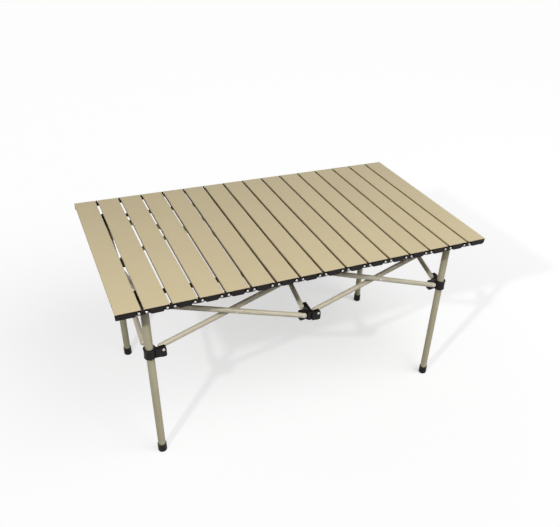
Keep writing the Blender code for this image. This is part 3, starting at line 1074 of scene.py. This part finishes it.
    def _caps(self, first: bool, last: bool) -> Workpiece:
        """The two end caps of a slat: a face between the links, a back plate and a plug.

        Args:
            first: Whether this is the left slat, with no link on its left.
            last: Whether this is the right slat, with no link on its right.

        Returns:
            The caps about the slat's middle.
        """
        half = self.width / 2
        notch = 2 * self.pin_inset + 1.0 * MM
        edge = half - self.touch
        top = -self.sheet
        left = -edge if first else notch - half
        right = edge if last else half - notch
        face = self._cap_face(left, right, first, last)
        back = [
            (-edge, top),
            (-edge, -self.cap_side_depth + 1.5 * MM),
            *arc((self.pin_inset - half, -self.pin_drop), self.link_half_height, 215, 270, 4),
            (notch - half, -self.cap_side_depth - 2.0 * MM),
            (notch - half + self.cap_slope, -self.cap_depth),
        ]
        back += [(-x, z) for x, z in reversed(back)]
        wall = self.sheet + self.touch
        floor = wall - self.depth
        roof = -self.sheet - 0.05 * MM
        bevel, pocket, rib = self.plug_bevel, self.plug_pocket, self.plug_rib
        plug = [
            (wall + self.lean - half, floor), (half - wall - self.lean, floor),
            (half - wall, roof - bevel), (half - wall - bevel, roof),
            (wall + bevel - half, roof), (wall - half, roof - bevel),
        ]
        pockets = [
            rounded_box((x - pocket, floor + rib), (x + pocket, top - rib), 1.5 * MM)
            for x in (-pocket - rib / 2, pocket + rib / 2)
        ]
        pieces = []
        start = self.link_back + self.touch
        back_end, plug_end = start + self.cap_back, start + self.plug
        beyond = 1.0 * MM
        for side in Side:
            pieces.append(self._plate("face", face, side, self.cap_inset, start + self.sheet))
            pieces.append(self._plate("back", back, side, start, back_end))
            hollow = [
                self._plate("pocket", outline, side, back_end + beyond, plug_end + beyond)
                for outline in pockets
            ]
            block = self._plate("plug", plug, side, start + self.cap_back / 2, plug_end)
            pieces.append(block.cut(*hollow))
        return pieces[0].united(*pieces[1:])

    def _cap_face(self, left: float, right: float, first: bool, last: bool) -> list[Point]:
        """The outline of a cap's face, deep in the middle and cut back by the links.

        Args:
            left: Its left edge.
            right: Its right edge.
            first: Whether its left edge is the left end of the table.
            last: Whether its right edge is the right end of the table.

        Returns:
            The outline, in x and z.
        """
        top, slope = -self.sheet, self.cap_slope
        square, blunt = self.cap_corner, self.table_corner
        outline = [(left, top)]
        if first:
            outline += arc((left + square, square - self.cap_depth), square, 180, 270, 4)
        else:
            outline += [(left, -self.cap_side_depth), (left + slope, -self.cap_depth)]
        if last:
            outline += arc((right - blunt, blunt - self.cap_depth), blunt, -90, 0, 6)
        else:
            outline += [(right - slope, -self.cap_depth), (right, -self.cap_side_depth)]
        return outline + [(right, top)]

    def _links(self) -> Workpiece:
        """The two link plates on the right of a slat, each with a tab that stands in the gap.

        Returns:
            The plates about the slat's middle.
        """
        centre = (self.width + self.gap) / 2
        reach = self.gap / 2 + self.pin_inset
        radius = self.link_half_height
        outline = [
            *arc((centre + reach, -self.pin_drop), radius, -90, 90, 10),
            *arc((centre - reach, -self.pin_drop), radius, 90, 270, 10),
        ]
        tab_half = self.gap / 2 - 0.5 * MM
        tab = [
            (centre - tab_half, -self.pin_drop),
            (centre + tab_half, -self.pin_drop),
            *arc((centre, -1.5 * MM), tab_half, 0, 180, 5),
        ]
        plates = []
        for side in Side:
            plate = self._plate("link", outline, side, self.cap_inset, self.link_back)
            stub = self._plate("tab", tab, side, self.cap_inset, self.link_back)
            plates.append(plate.united(stub))
        return Workpiece.joined("links", plates).rounded(self.link_rounding, 50.0)

    def _rivets(self, first: bool, last: bool) -> Workpiece:
        """The domed rivets that hold the links of a slat, with a dimple in each head.

        Args:
            first: Whether this is the left slat.
            last: Whether this is the right slat.

        Returns:
            The rivets about the slat's middle.
        """
        radius = self.head_radius
        rise = self.cap_inset - self.touch
        under = self.link_back
        profile = [
            (0.0, rise - 0.35 * MM),
            (0.25 * radius, rise - 0.30 * MM),
            (0.38 * radius, rise),
            (0.60 * radius, rise * 0.90),
            (0.82 * radius, rise * 0.62),
            (0.96 * radius, rise * 0.25),
            (radius, 0.0),
            (0.6 * radius, -0.1 * MM),
            (0.6 * radius, -under),
            (0.0, -under),
        ]
        pin = self.width / 2 - self.pin_inset
        places = [x for x, bare in ((-pin, first), (pin, last)) if not bare]
        heads = []
        for side in Side:
            outwards = Matrix.Rotation(-side.value * pi / 2, 4, "X")
            face = side.value * (self.layout.half_width - self.cap_inset)
            for x in places:
                turn = Matrix.Translation((x, face, -self.pin_drop)) @ outwards
                heads.append(Workpiece.turned("head", profile, self.head_flats).moved(turn))
        return Workpiece.joined("rivets", heads)

    def _tape(self, start: float, stop: float, steps: int) -> Workpiece:
        """Two lengths of webbing, front and rear, under the slats.

        Args:
            start: Their left end.
            stop: Their right end.
            steps: How many stretches they have.

        Returns:
            The webbing, with z measured from the top of the slats.
        """
        half, thick, flat = self.strap_width / 2, self.strap_thickness, self.strap_bevel
        section = [
            (-half, -0.5 * thick), (-half + 0.3 * flat, -0.85 * thick), (-half + flat, -thick),
            (half - flat, -thick), (half - 0.3 * flat, -0.85 * thick), (half, -0.5 * thick),
            (half - 0.3 * flat, -0.15 * thick), (half - flat, 0.0),
            (-half + flat, 0.0), (-half + 0.3 * flat, -0.15 * thick),
        ]
        lengths = []
        for side in Side:
            shape = bmesh.new()
            rings = []
            for step in range(steps + 1):
                x = start + (stop - start) * step / steps
                spots = [(x, side.value * self.strap_y + y, z - self.depth) for y, z in section]
                rings.append([shape.verts.new(spot) for spot in spots])
            for near, far in zip(rings, rings[1:]):
                for index in range(len(section)):
                    after = (index + 1) % len(section)
                    shape.faces.new((near[index], near[after], far[after], far[index]))
            shape.faces.new(rings[0])
            shape.faces.new(reversed(rings[-1]))
            lengths.append(Workpiece("tape", shape))
        return Workpiece.joined("tape", lengths)

    def _straps(self) -> Workpiece:
        """The webbing under one slat."""
        reach = self.width / 2 - self.strap_inset
        return self._tape(-reach, reach, 6)

    def _strap_bridge(self, number: int) -> None:
        """The webbing that crosses the gap on the right of a slat, baked in its place at rest.

        Args:
            number: The slat, counted from 1 at the left end.
        """
        start = self.width / 2 - self.strap_inset
        stop = self.width / 2 + self.gap + self.strap_inset
        place = Matrix.Translation((self.middle(number), 0, self.layout.height))
        level = Vector((0, 0, -self.depth))
        ends = (place @ (Vector((start, 0, 0)) + level), place @ (Vector((stop, 0, 0)) + level))
        piece = self._tape(start, stop, 10).moved(place).renamed(f"strap_bridge_{number:02d}")
        piece.object.data.shade_smooth()
        bodies = (f"slat_{number:02d}", f"slat_{number + 1:02d}")
        piece.bent(self.finishes.webbing, bodies, ends)


@dataclass
class ScissorFrame(Assembly):
    """The bars of the seven X's, with the rivets that pin them."""

    radius: float = 6.5 * MM
    beyond_pin: float = 9.5 * MM
    dome: float = 5.5 * MM
    head_radius: float = 3.5 * MM
    head_rise: float = 1.3 * MM
    shank: float = 2.4 * MM
    bar_flats: int = 32
    rivet_flats: int = 24

    @property
    def offset(self) -> float:
        """How far a bar's middle stands from the plane of its X."""
        return self.radius + self.touch

    def build(self) -> None:
        """Build the bars and rivets of every X."""
        place = self.layout
        rise = place.top_z - place.low_z
        span_along = place.leg_pivot_x - place.hub_pivot_x
        middle_z = (place.top_z + place.low_z) / 2
        slope = atan2(rise, span_along)
        for side, end, corner in table_corners():
            x = end.value * (place.hub_pivot_x + span_along / 2)
            centre = Vector((x, side.value * place.leg_y, middle_z))
            for kind, way in (("rising", -end.value), ("falling", end.value)):
                turn = Matrix.Rotation(-way * slope, 4, "Y") @ self._facing(way)
                spot = centre + Vector((0, way * self.offset, 0))
                self._bar(f"{corner}_{kind}_bar", hypot(span_along, rise), self.along_arm, spot, turn)
            self._cross_rivet(f"{corner}_rivet", f"{corner}_rising_bar", centre, Matrix.Identity(4))
        span_across = 2 * place.cross_pivot_y
        slope = atan2(rise, span_across)
        quarter = Matrix.Rotation(pi / 2, 4, "Z")
        for name, x in (("left", -place.leg_x), ("middle", 0.0), ("right", place.leg_x)):
            centre = Vector((x, 0, middle_z))
            for kind, way in (("rear", -1), ("front", 1)):
                turn = Matrix.Rotation(-way * slope, 4, "X") @ quarter @ self._facing(-way)
                spot = centre + Vector((way * self.offset, 0, 0))
                bar = f"{name}_{kind}_high_bar"
                self._bar(bar, hypot(span_across, rise), self.cross_arm, spot, turn)
            self._cross_rivet(f"{name}_rivet", f"{name}_front_high_bar", centre, quarter)

    @staticmethod
    def _facing(way: int) -> Matrix:
        """A half turn about Z for a bar whose rivets point to -Y."""
        return Matrix.Rotation(pi if way > 0 else 0.0, 4, "Z")

    def _bar(self, name: str, length: float, arm: float, place: Vector, turn: Matrix) -> None:
        """One bar along its own X, with its end rivets towards its own +Y.

        Args:
            name: The node that it replaces, which is also its body.
            length: The distance between its end pivots.
            arm: The thickness of the arms that its end rivets go through.
            place: Its middle.
            turn: How it is turned there.
        """
        end = length / 2 + self.beyond_pin
        flat = end - self.dome
        dome = [
            (self.radius * cos(angle), flat + self.dome * sin(angle)) for angle in self._quarter(7)
        ]
        profile = [(radius, -z) for radius, z in reversed(dome)] + dome
        quarter = Matrix.Rotation(pi / 2, 4, "Y")
        stands = Matrix.Translation(place) @ turn
        bar = Workpiece.turned(f"{name}_tube", profile, self.bar_flats).moved(quarter)
        bar.object.matrix_world = stands
        bar.shaded(ROUND_PIECE).fitted(self.finishes.bar, name, [name])
        low, high = self.touch - self.radius, self.offset + arm + self.boss + self.touch
        rivets = [
            self._rivet(low, high, Matrix.Translation((x, 0, 0))) for x in (-length / 2, length / 2)
        ]
        piece = Workpiece.joined(f"{name}_rivets", rivets)
        piece.object.matrix_world = stands
        piece.shaded(ROUND_PIECE).fitted(self.finishes.steel, name)

    @staticmethod
    def _quarter(steps: int) -> list[float]:
        """The angles of a quarter turn, in radians."""
        return [pi / 2 * step / steps for step in range(steps + 1)]

    def _rivet(self, low: float, high: float, turn: Matrix) -> Workpiece:
        """A rivet along Y with a domed head at each end.

        Args:
            low: Where its first head sits.
            high: Where its second head sits.
            turn: Where it goes.

        Returns:
            The rivet.
        """
        head = [
            (self.head_radius * cos(angle), self.head_rise * sin(angle)) for angle in self._quarter(5)
        ]
        top = [(radius, high + rise) for radius, rise in head]
        bottom = [(radius, low - rise) for radius, rise in reversed(head)]
        profile = [*bottom, (self.shank, low), (self.shank, high), *top]
        rivet = Workpiece.turned("rivet", profile, self.rivet_flats)
        return rivet.moved(turn @ Matrix.Rotation(-pi / 2, 4, "X"))

    def _cross_rivet(self, name: str, body: str, place: Vector, turn: Matrix) -> None:
        """The rivet through the middle of an X.

        Args:
            name: The node that it replaces.
            body: The bar that it turns with.
            place: The middle of the X.
            turn: How it is turned there.
        """
        reach = self.offset + self.radius - 0.2 * MM
        rivet = self._rivet(-reach, reach, Matrix.Identity(4))
        rivet.object.name = f"{name}_pin"
        rivet.object.matrix_world = Matrix.Translation(place) @ turn
        rivet.shaded(ROUND_PIECE).fitted(self.finishes.steel, body, [name])


@dataclass
class Legs(Assembly):
    """The four leg tubes and their moulded feet."""

    wall: float = 1.2 * MM
    foot_radius: float = 11.5 * MM
    foot_height: float = 25.0 * MM
    foot_floor: float = 5.0 * MM
    foot_edge: float = 3.5 * MM
    foot_lip: float = 0.8 * MM
    foot_relief: float = 0.2 * MM
    tread_depth: float = 0.8 * MM
    groove: float = 0.5 * MM
    groove_heights: Range = (0.60, 0.72)
    burr: float = 0.3 * MM
    flats: int = 40

    def build(self) -> None:
        """Build a tube and a foot at every corner."""
        for _, _, corner in table_corners():
            low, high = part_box(f"leg_tube_{corner}")
            place = Matrix.Translation(((low.x + high.x) / 2, (low.y + high.y) / 2, 0))
            self._tube(corner, place, low.z, high.z)
            self._foot(corner, place)

    def _tube(self, corner: str, place: Matrix, low: float, high: float) -> None:
        """A drawn tube with its ends deburred.

        Args:
            corner: The corner of the table that it stands at.
            place: Where it stands.
            low: Its lower end.
            high: Its upper end.
        """
        burr, outer = self.burr, self.leg_radius
        inner = outer - self.wall
        profile = [
            (inner, low + burr), (inner + burr, low), (outer - burr, low), (outer, low + burr),
            (outer, high - burr), (outer - burr, high), (inner + burr, high), (inner, high - burr),
        ]
        tube = Workpiece.turned(f"leg_{corner}_tube", profile, self.flats).moved(place)
        tube.shaded(CRISP_PIECE).fitted(self.finishes.leg, f"leg_{corner}", [f"leg_tube_{corner}"])

    def _foot(self, corner: str, place: Matrix) -> None:
        """A moulded foot with a rolled top lip, two grip grooves and a ring tread.

        Args:
            corner: The corner of the table that it stands at.
            place: Where it stands.
        """
        edge, deep, groove, lip = self.foot_edge, self.tread_depth, self.groove, self.foot_lip
        inner = self.leg_radius + self.touch
        body_radius = self.foot_radius - self.foot_relief
        tread = [
            (0.0, deep), (3.0, deep), (3.6, 0.0), (5.0, 0.0), (5.5, deep), (6.5, deep), (7.0, 0.0),
        ]
        profile = [(radius * MM, z) for radius, z in tread]
        profile += arc((self.foot_radius - edge, edge), edge, -90, 0, 7)
        for ring in self.groove_heights:
            z = ring * self.foot_height
            profile += [
                (body_radius, z - 2 * groove), (body_radius - groove, z - groove),
                (body_radius - groove, z + groove), (body_radius, z + 2 * groove),
            ]
        profile += [
            *arc((self.foot_radius - lip, self.foot_height - lip), lip, 0, 90, 4),
            (inner, self.foot_height), (inner, self.foot_floor), (0.0, self.foot_floor),
        ]
        foot = Workpiece.turned(f"foot_{corner}_cap", profile, self.flats).moved(place)
        foot.shaded(ROUND_PIECE).fitted(self.finishes.nylon, f"leg_{corner}", [f"foot_{corner}"])


@dataclass
class Mouldings(Assembly):
    """The black nylon brackets, collars and hubs that the bars are pinned to."""

    slide: float = 0.5 * MM
    collar_wall: float = 4.3 * MM
    socket_wall: float = 3.5 * MM
    above_pin: float = 6.0 * MM
    below_pin: float = 20.5 * MM
    waist_trim: float = 1.25 * MM
    top_below_pin: float = 12.5 * MM
    beyond_pin: float = 7.0 * MM
    corner: float = 4.5 * MM
    boss_radius: float = 5.2 * MM
    core_radius: float = 7.8 * MM
    pad: float = 5.0 * MM
    pad_margin: float = 16.0 * MM
    pad_corner: float = 9.0 * MM
    pad_overlap: float = 1.0 * MM
    rim: float = 3.2 * MM
    rim_depth: float = 0.7 * MM
    rim_slope: float = 0.8 * MM
    dish: float = 1.5 * MM
    ring_flats: int = 48
    core_flats: int = 40
    voxel: float = 0.55 * MM
    smoothing: int = 3
    faces_kept: float = 0.22

    @property
    def leg_reach(self) -> float:
        """From a leg's axis to the pivots of the bars along the table."""
        return self.layout.leg_x - self.layout.leg_pivot_x

    @property
    def cross_reach(self) -> float:
        """From a leg's axis to the pivots of the bars across the table."""
        return self.layout.leg_y - self.layout.cross_pivot_y

    @property
    def pad_top(self) -> float:
        """The height of the seats' tops above the pivots."""
        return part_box("middle_bracket_front")[1].z - self.layout.top_z

    def build(self) -> None:
        """Build the brackets and collars of every leg, and the middle brackets and hubs."""
        low, top = self.layout.low_z, self.layout.top_z
        for side in Side:
            y = side.value * self.layout.leg_y
            for end in End:
                corner = f"{side.word}_{end.word}"
                x = end.value * self.layout.leg_x
                self._place(self._collar(end, side), (x, y, low), f"collar_{corner}")
                bracket = self._leg_bracket(end, side)
                self._place(bracket, (x, y, top), f"leg_bracket_{corner}", f"leg_{corner}")
            self._place(self._middle_bracket(side), (0, y, top), f"middle_bracket_{side.word}")
            self._place(self._hub(side), (0, y, low), f"hub_{side.word}")

    def _place(self, parts: list[Workpiece], place: Spot, node: str, body: str = "") -> None:
        """Melt the parts of a moulding together and fit it in place of its node.

        Args:
            parts: Its overlapping parts, which are used up.
            place: Where it goes.
            node: The node that it replaces.
            body: The body that it moves with, where that has another name.
        """
        piece = Workpiece.joined(f"{node}_moulding", parts)
        piece.moulded(self.voxel, self.smoothing, self.faces_kept).moved(Matrix.Translation(place))
        piece.object.data.shade_smooth()
        piece.fitted(self.finishes.nylon, body or node, [node])

    def _arm(
        self, axis: Axis, sign: int, plate_side: int, reach: float, root: float,
        top: float | None = None,
    ) -> list[Workpiece]:
        """An arm plate with a boss round its pivot.

        Args:
            axis: The way it runs.
            sign: Which way along that axis.
            plate_side: The side of the X's plane that it stands on.
            reach: The distance of its pivot.
            root: Where it starts, inside the moulding.
            top: How high it runs up into a seat; without it the arm is a low one, which flares
                to its end and reaches further below its pivot than above it.

        Returns:
            The plate and its boss.
        """
        tip = reach + self.beyond_pin
        radius = self.corner
        rounding = arc((tip - radius, radius), radius, -90, 0, 5)
        if top is None:
            neck, trim = (root + reach) / 2, self.waist_trim
            half = [(root, trim), (neck, trim), (reach - radius, 0.0), *rounding]
            outline = [(along, z - self.below_pin) for along, z in half]
            outline += [(along, self.above_pin - z) for along, z in reversed(half)]
        else:
            lower = [(along, z - self.top_below_pin) for along, z in rounding]
            outline = [(root, top), (root, -self.top_below_pin), *lower, (tip, top)]
        outline = [(sign * along, z) for along, z in outline]
        normal, thickness = (Axis.Y, self.along_arm) if axis is Axis.X else (Axis.X, self.cross_arm)
        plate = Workpiece.prism("arm", outline, normal, *sorted((0.0, plate_side * thickness)))
        ring = arc((sign * reach, 0.0), self.boss_radius, 0, 345, 23)
        outer = plate_side * (thickness + self.boss)
        boss = Workpiece.prism("boss", ring, normal, *sorted((plate_side * thickness / 2, outer)))
        return [plate, boss]

    def _ring(self, inner: float, wall: float, low: float, high: float) -> Workpiece:
        """A ring round a leg, with a thicker rim at the top and the bottom.

        Args:
            inner: Its inner radius.
            wall: How thick its rims are.
            low: Its lower end.
            high: Its upper end.

        Returns:
            The ring.
        """
        rim, slope = self.rim, self.rim_slope
        waist = inner + wall - self.rim_depth
        outer = inner + wall
        profile = [
            (inner, low), (outer, low), (outer, low + rim), (waist, low + rim + slope),
            (waist, high - rim - slope), (outer, high - rim), (outer, high), (inner, high),
        ]
        return Workpiece.turned("ring", profile, self.ring_flats)

    def _collar(self, end: End, side: Side) -> list[Workpiece]:
        """A collar that slides on a leg, about the leg's axis with its pivots at z = 0.

        Args:
            end: The end of the table that it is at.
            side: The side that it is at.

        Returns:
            Its parts.
        """
        inner = self.leg_radius + self.slide
        root = inner + self.collar_wall / 3
        return [
            self._ring(inner, self.collar_wall, -self.below_pin, self.above_pin),
            *self._arm(Axis.X, -end.value, end.value, self.leg_reach, root),
            *self._arm(Axis.Y, -side.value, -side.value, self.cross_reach, root),
        ]

    def _leg_bracket(self, end: End, side: Side) -> list[Workpiece]:
        """The socket and seat on a leg, about the leg's axis with its pivots at z = 0.

        Args:
            end: The end of the table that it is at.
            side: The side that it is at.

        Returns:
            Its parts.
        """
        inner = self.leg_radius + self.touch
        root = inner + self.socket_wall / 3
        high = self.pad_top
        under = high - self.pad + self.pad_overlap
        far_x = self.leg_reach + self.beyond_pin
        far_y = self.cross_reach + self.beyond_pin
        near = -self.pad_margin
        corner = self.pad_corner
        seat = [
            (near + corner, near), (far_x, near), (far_x, corner),
            (corner, far_y), (near, far_y), (near, near + corner),
        ]
        seat = [(-end.value * x, -side.value * y) for x, y in seat]
        return [
            self._ring(inner, self.socket_wall, -self.top_below_pin, under),
            Workpiece.prism("seat", seat, Axis.Z, high - self.pad, high),
            *self._arm(Axis.X, -end.value, -end.value, self.leg_reach, root, under),
            *self._arm(Axis.Y, -side.value, side.value, self.cross_reach, root, under),
        ]

    def _core(self, low: float, top: float) -> Workpiece:
        """The solid middle of a hub or middle bracket, with a shallow dish underneath.

        Args:
            low: Its lower end.
            top: Its upper end.

        Returns:
            The core.
        """
        radius = self.core_radius
        profile = [
            (0.0, low + self.dish), (0.55 * radius, low + self.dish), (0.7 * radius, low),
            (radius, low), (radius, top), (0.0, top),
        ]
        return Workpiece.turned("core", profile, self.core_flats)

    def _middle_bracket(self, side: Side) -> list[Workpiece]:
        """The bracket under the middle of a long side, with its pivots at z = 0.

        Args:
            side: The side that it is at.

        Returns:
            Its parts.
        """
        high = self.pad_top
        under = high - self.pad + self.pad_overlap
        root = self.core_radius / 2
        far_x = self.layout.hub_pivot_x + self.beyond_pin
        far_y = self.cross_reach + self.beyond_pin
        corner = self.pad_corner
        half = [(far_x, -self.pad_margin), (far_x, corner), (corner, far_y)]
        seat = half + [(-x, y) for x, y in reversed(half)]
        seat = [(x, -side.value * y) for x, y in seat]
        seat_plate = Workpiece.prism("seat", seat, Axis.Z, high - self.pad, high)
        parts = [self._core(-self.top_below_pin, under), seat_plate]
        for end in End:
            parts += self._arm(Axis.X, end.value, end.value, self.layout.hub_pivot_x, root, under)
        return parts + self._arm(Axis.Y, -side.value, side.value, self.cross_reach, root, under)

    def _hub(self, side: Side) -> list[Workpiece]:
        """A hub that hangs on the bars in the middle of a long side, with its pivots at z = 0.

        Args:
            side: The side that it is at.

        Returns:
            Its parts.
        """
        root = self.core_radius / 2
        parts = [self._core(self.waist_trim - self.below_pin, self.above_pin - self.waist_trim)]
        for end in End:
            parts += self._arm(Axis.X, end.value, -end.value, self.layout.hub_pivot_x, root)
        return parts + self._arm(Axis.Y, -side.value, -side.value, self.cross_reach, root)


@dataclass(frozen=True)
class Lamp:
    """A lamp of the studio."""

    place: Spot
    size: float
    power: float

    def _hung(self, name: str, kind: str) -> bpy.types.Object:
        """Hang a lamp of a kind in its place.

        Args:
            name: The lamp's name.
            kind: AREA or POINT.

        Returns:
            The lamp.
        """
        lamp = bpy.data.lights.new(name, kind)
        lamp.energy = self.power
        made = stand(name, lamp)
        made.location = self.place
        return made


class Softbox(Lamp):
    """A square lamp that faces the table, with its side as its size."""

    def hang(self, aim: Spot) -> None:
        """Hang the lamp in its place, facing a point.

        Args:
            aim: The point.
        """
        made = self._hung("softbox", "AREA")
        made.data.size = self.size
        made.rotation_mode = "QUATERNION"
        made.rotation_quaternion = (Vector(self.place) - Vector(aim)).to_track_quat("Z", "Y")

    def level(self, graph: Graph, aim: Spot) -> Field:
        """How bright the lamp makes each spot of a level white floor, as if it were a disc.

        Args:
            graph: The graph of the floor's nodes.
            aim: The point that the lamp faces.

        Returns:
            The brightness.
        """
        ahead = (Vector(aim) - Vector(self.place)).normalized()
        offset = graph.place() - self.place
        far, deep = offset.measured("LENGTH"), offset.measured("DOT_PRODUCT", ahead)
        square = far * far
        near = square * (square + self.size**2 / pi)
        return self.power * self.place[2] / (2 * pi**2) * (deep + abs(deep)) / near


class Bulb(Lamp):
    """A small bright lamp that casts the clear shadow on the floor, with its radius as its size."""

    def hang(self) -> None:
        """Hang the lamp in its place."""
        self._hung("bulb", "POINT").data.shadow_soft_size = self.size

    def level(self, graph: Graph) -> Field:
        """How bright the lamp makes each spot of a level white floor."""
        far = graph.place().measured("DISTANCE", self.place)
        return self.power * self.place[2] / (2 * pi) ** 2 / (far * far * far)


@dataclass
class Studio:
    """A white floor and room, a bulb and a softbox in front, and the photograph's camera.

    The floor that the camera sees is white wherever the bulb reaches it, and equally grey in the
    bulb's shadow, however far that is from the bulb: shadow is how much darker.
    """

    floor_size: float = 60.0
    floor_depth: float = 10.0 * MM
    floor_grey: float = 0.15
    shadow: float = 0.092
    white: float = 0.982
    room: float = 0.12
    key: Bulb = Bulb((-1.24, -1.11, 1.52), 0.045, 57.0)
    fill: Softbox = Softbox((0.8, -1.2, 2.1), 1.8, 41.0)
    aim: Spot = (0.0, -0.05, 0.45)
    eye: Spot = (-0.5790, -1.3517, 1.2398)
    azimuth: float = -28.396
    elevation: float = 35.423
    roll: float = 4.033
    lens: float = 39.44
    shift: Point = (-0.0748, 0.0895)

    def build(self) -> None:
        """Set up the floor, the light and the camera."""
        self._floor()
        self._room()
        self.key.hang()
        self.fill.hang(self.aim)
        self._camera()
        bpy.context.scene.view_settings.view_transform = "Standard"

    @staticmethod
    def _seen(graph: Graph) -> Field:
        """1 for the rays that show the surface itself, to the camera, in gloss or through glass.

        Args:
            graph: The graph that it is worked out in.

        Returns:
            The mask.
        """
        rays = graph.node("ShaderNodeLightPath").socket.node.outputs
        kinds = ("Is Camera Ray", "Is Glossy Ray", "Is Transmission Ray")
        camera, gloss, glass = (Field(graph, rays[kind]) for kind in kinds)
        return camera + gloss + glass

    def _floor(self) -> None:
        """A white floor that keeps the table's shadow and is plain white elsewhere."""
        half = self.floor_size / 2
        square = [(-half, -half), (half, -half), (half, half), (-half, half)]
        floor = Workpiece.prism("floor", square, Axis.Z, -self.floor_depth, 0.0)
        made, graph = new_material("studio floor")
        plain = graph.node("ShaderNodeBsdfDiffuse", None, {"Color": (self.floor_grey,) * 3})
        key = self.key.level(graph)
        share = (self.shadow / key).at_most(1.0)
        lit = graph.node("ShaderNodeBsdfDiffuse", None, {"Color": share})
        glow = self.white - (key + self.fill.level(graph, self.aim) + self.room) * share
        lift = graph.node("ShaderNodeEmission", None, {"Color": glow})
        shown = graph.node("ShaderNodeAddShader", None, {0: lit, 1: lift})
        surface = graph.node("ShaderNodeMixShader", None, {0: self._seen(graph), 1: plain, 2: shown})
        graph.node("ShaderNodeOutputMaterial", None, {"Surface": surface})
        floor.object.data.materials.append(made)

    def _room(self) -> None:
        """An even white room: plain for the eye, dimmer as a light."""
        world = bpy.data.worlds.new("studio room")
        world.use_nodes = True
        bpy.context.scene.world = world
        graph = Graph(world.node_tree)
        dim = graph.node("ShaderNodeBackground", None, {"Color": (1, 1, 1), "Strength": self.room})
        plain = graph.node("ShaderNodeBackground", None, {"Color": (1, 1, 1), "Strength": self.white})
        shader = graph.node("ShaderNodeMixShader", None, {0: self._seen(graph), 1: dim, 2: plain})
        graph.node("ShaderNodeOutputWorld", None, {"Surface": shader})

    def _camera(self) -> None:
        """The camera that was fitted to the photograph."""
        lens = bpy.data.cameras.new("camera")
        lens.lens = self.lens
        lens.shift_x, lens.shift_y = self.shift
        camera = stand("camera", lens)
        turn, tilt, roll = radians(self.azimuth), radians(self.elevation), radians(self.roll)
        ahead = Vector((-sin(turn) * cos(tilt), cos(turn) * cos(tilt), -sin(tilt)))
        right = Vector((cos(turn), sin(turn), 0.0))
        up = right.cross(ahead)
        across = right * cos(roll) + up * sin(roll)
        upright = up * cos(roll) - right * sin(roll)
        columns = Matrix((across, upright, -ahead)).transposed()
        camera.matrix_world = Matrix.Translation(self.eye) @ columns.to_4x4()
        bpy.context.scene.camera = camera


def main() -> None:
    """Load the frame, read its sizes, and build the table's looks round it."""
    logging.basicConfig(level=logging.INFO, format="%(message)s")
    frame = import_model()
    layout = Layout.read(frame)
    finishes = Finishes()
    Tabletop(layout, finishes).build()
    ScissorFrame(layout, finishes).build()
    Legs(layout, finishes).build()
    Mouldings(layout, finishes).build()
    Studio().build()


if __name__ == "__main__":
    main()
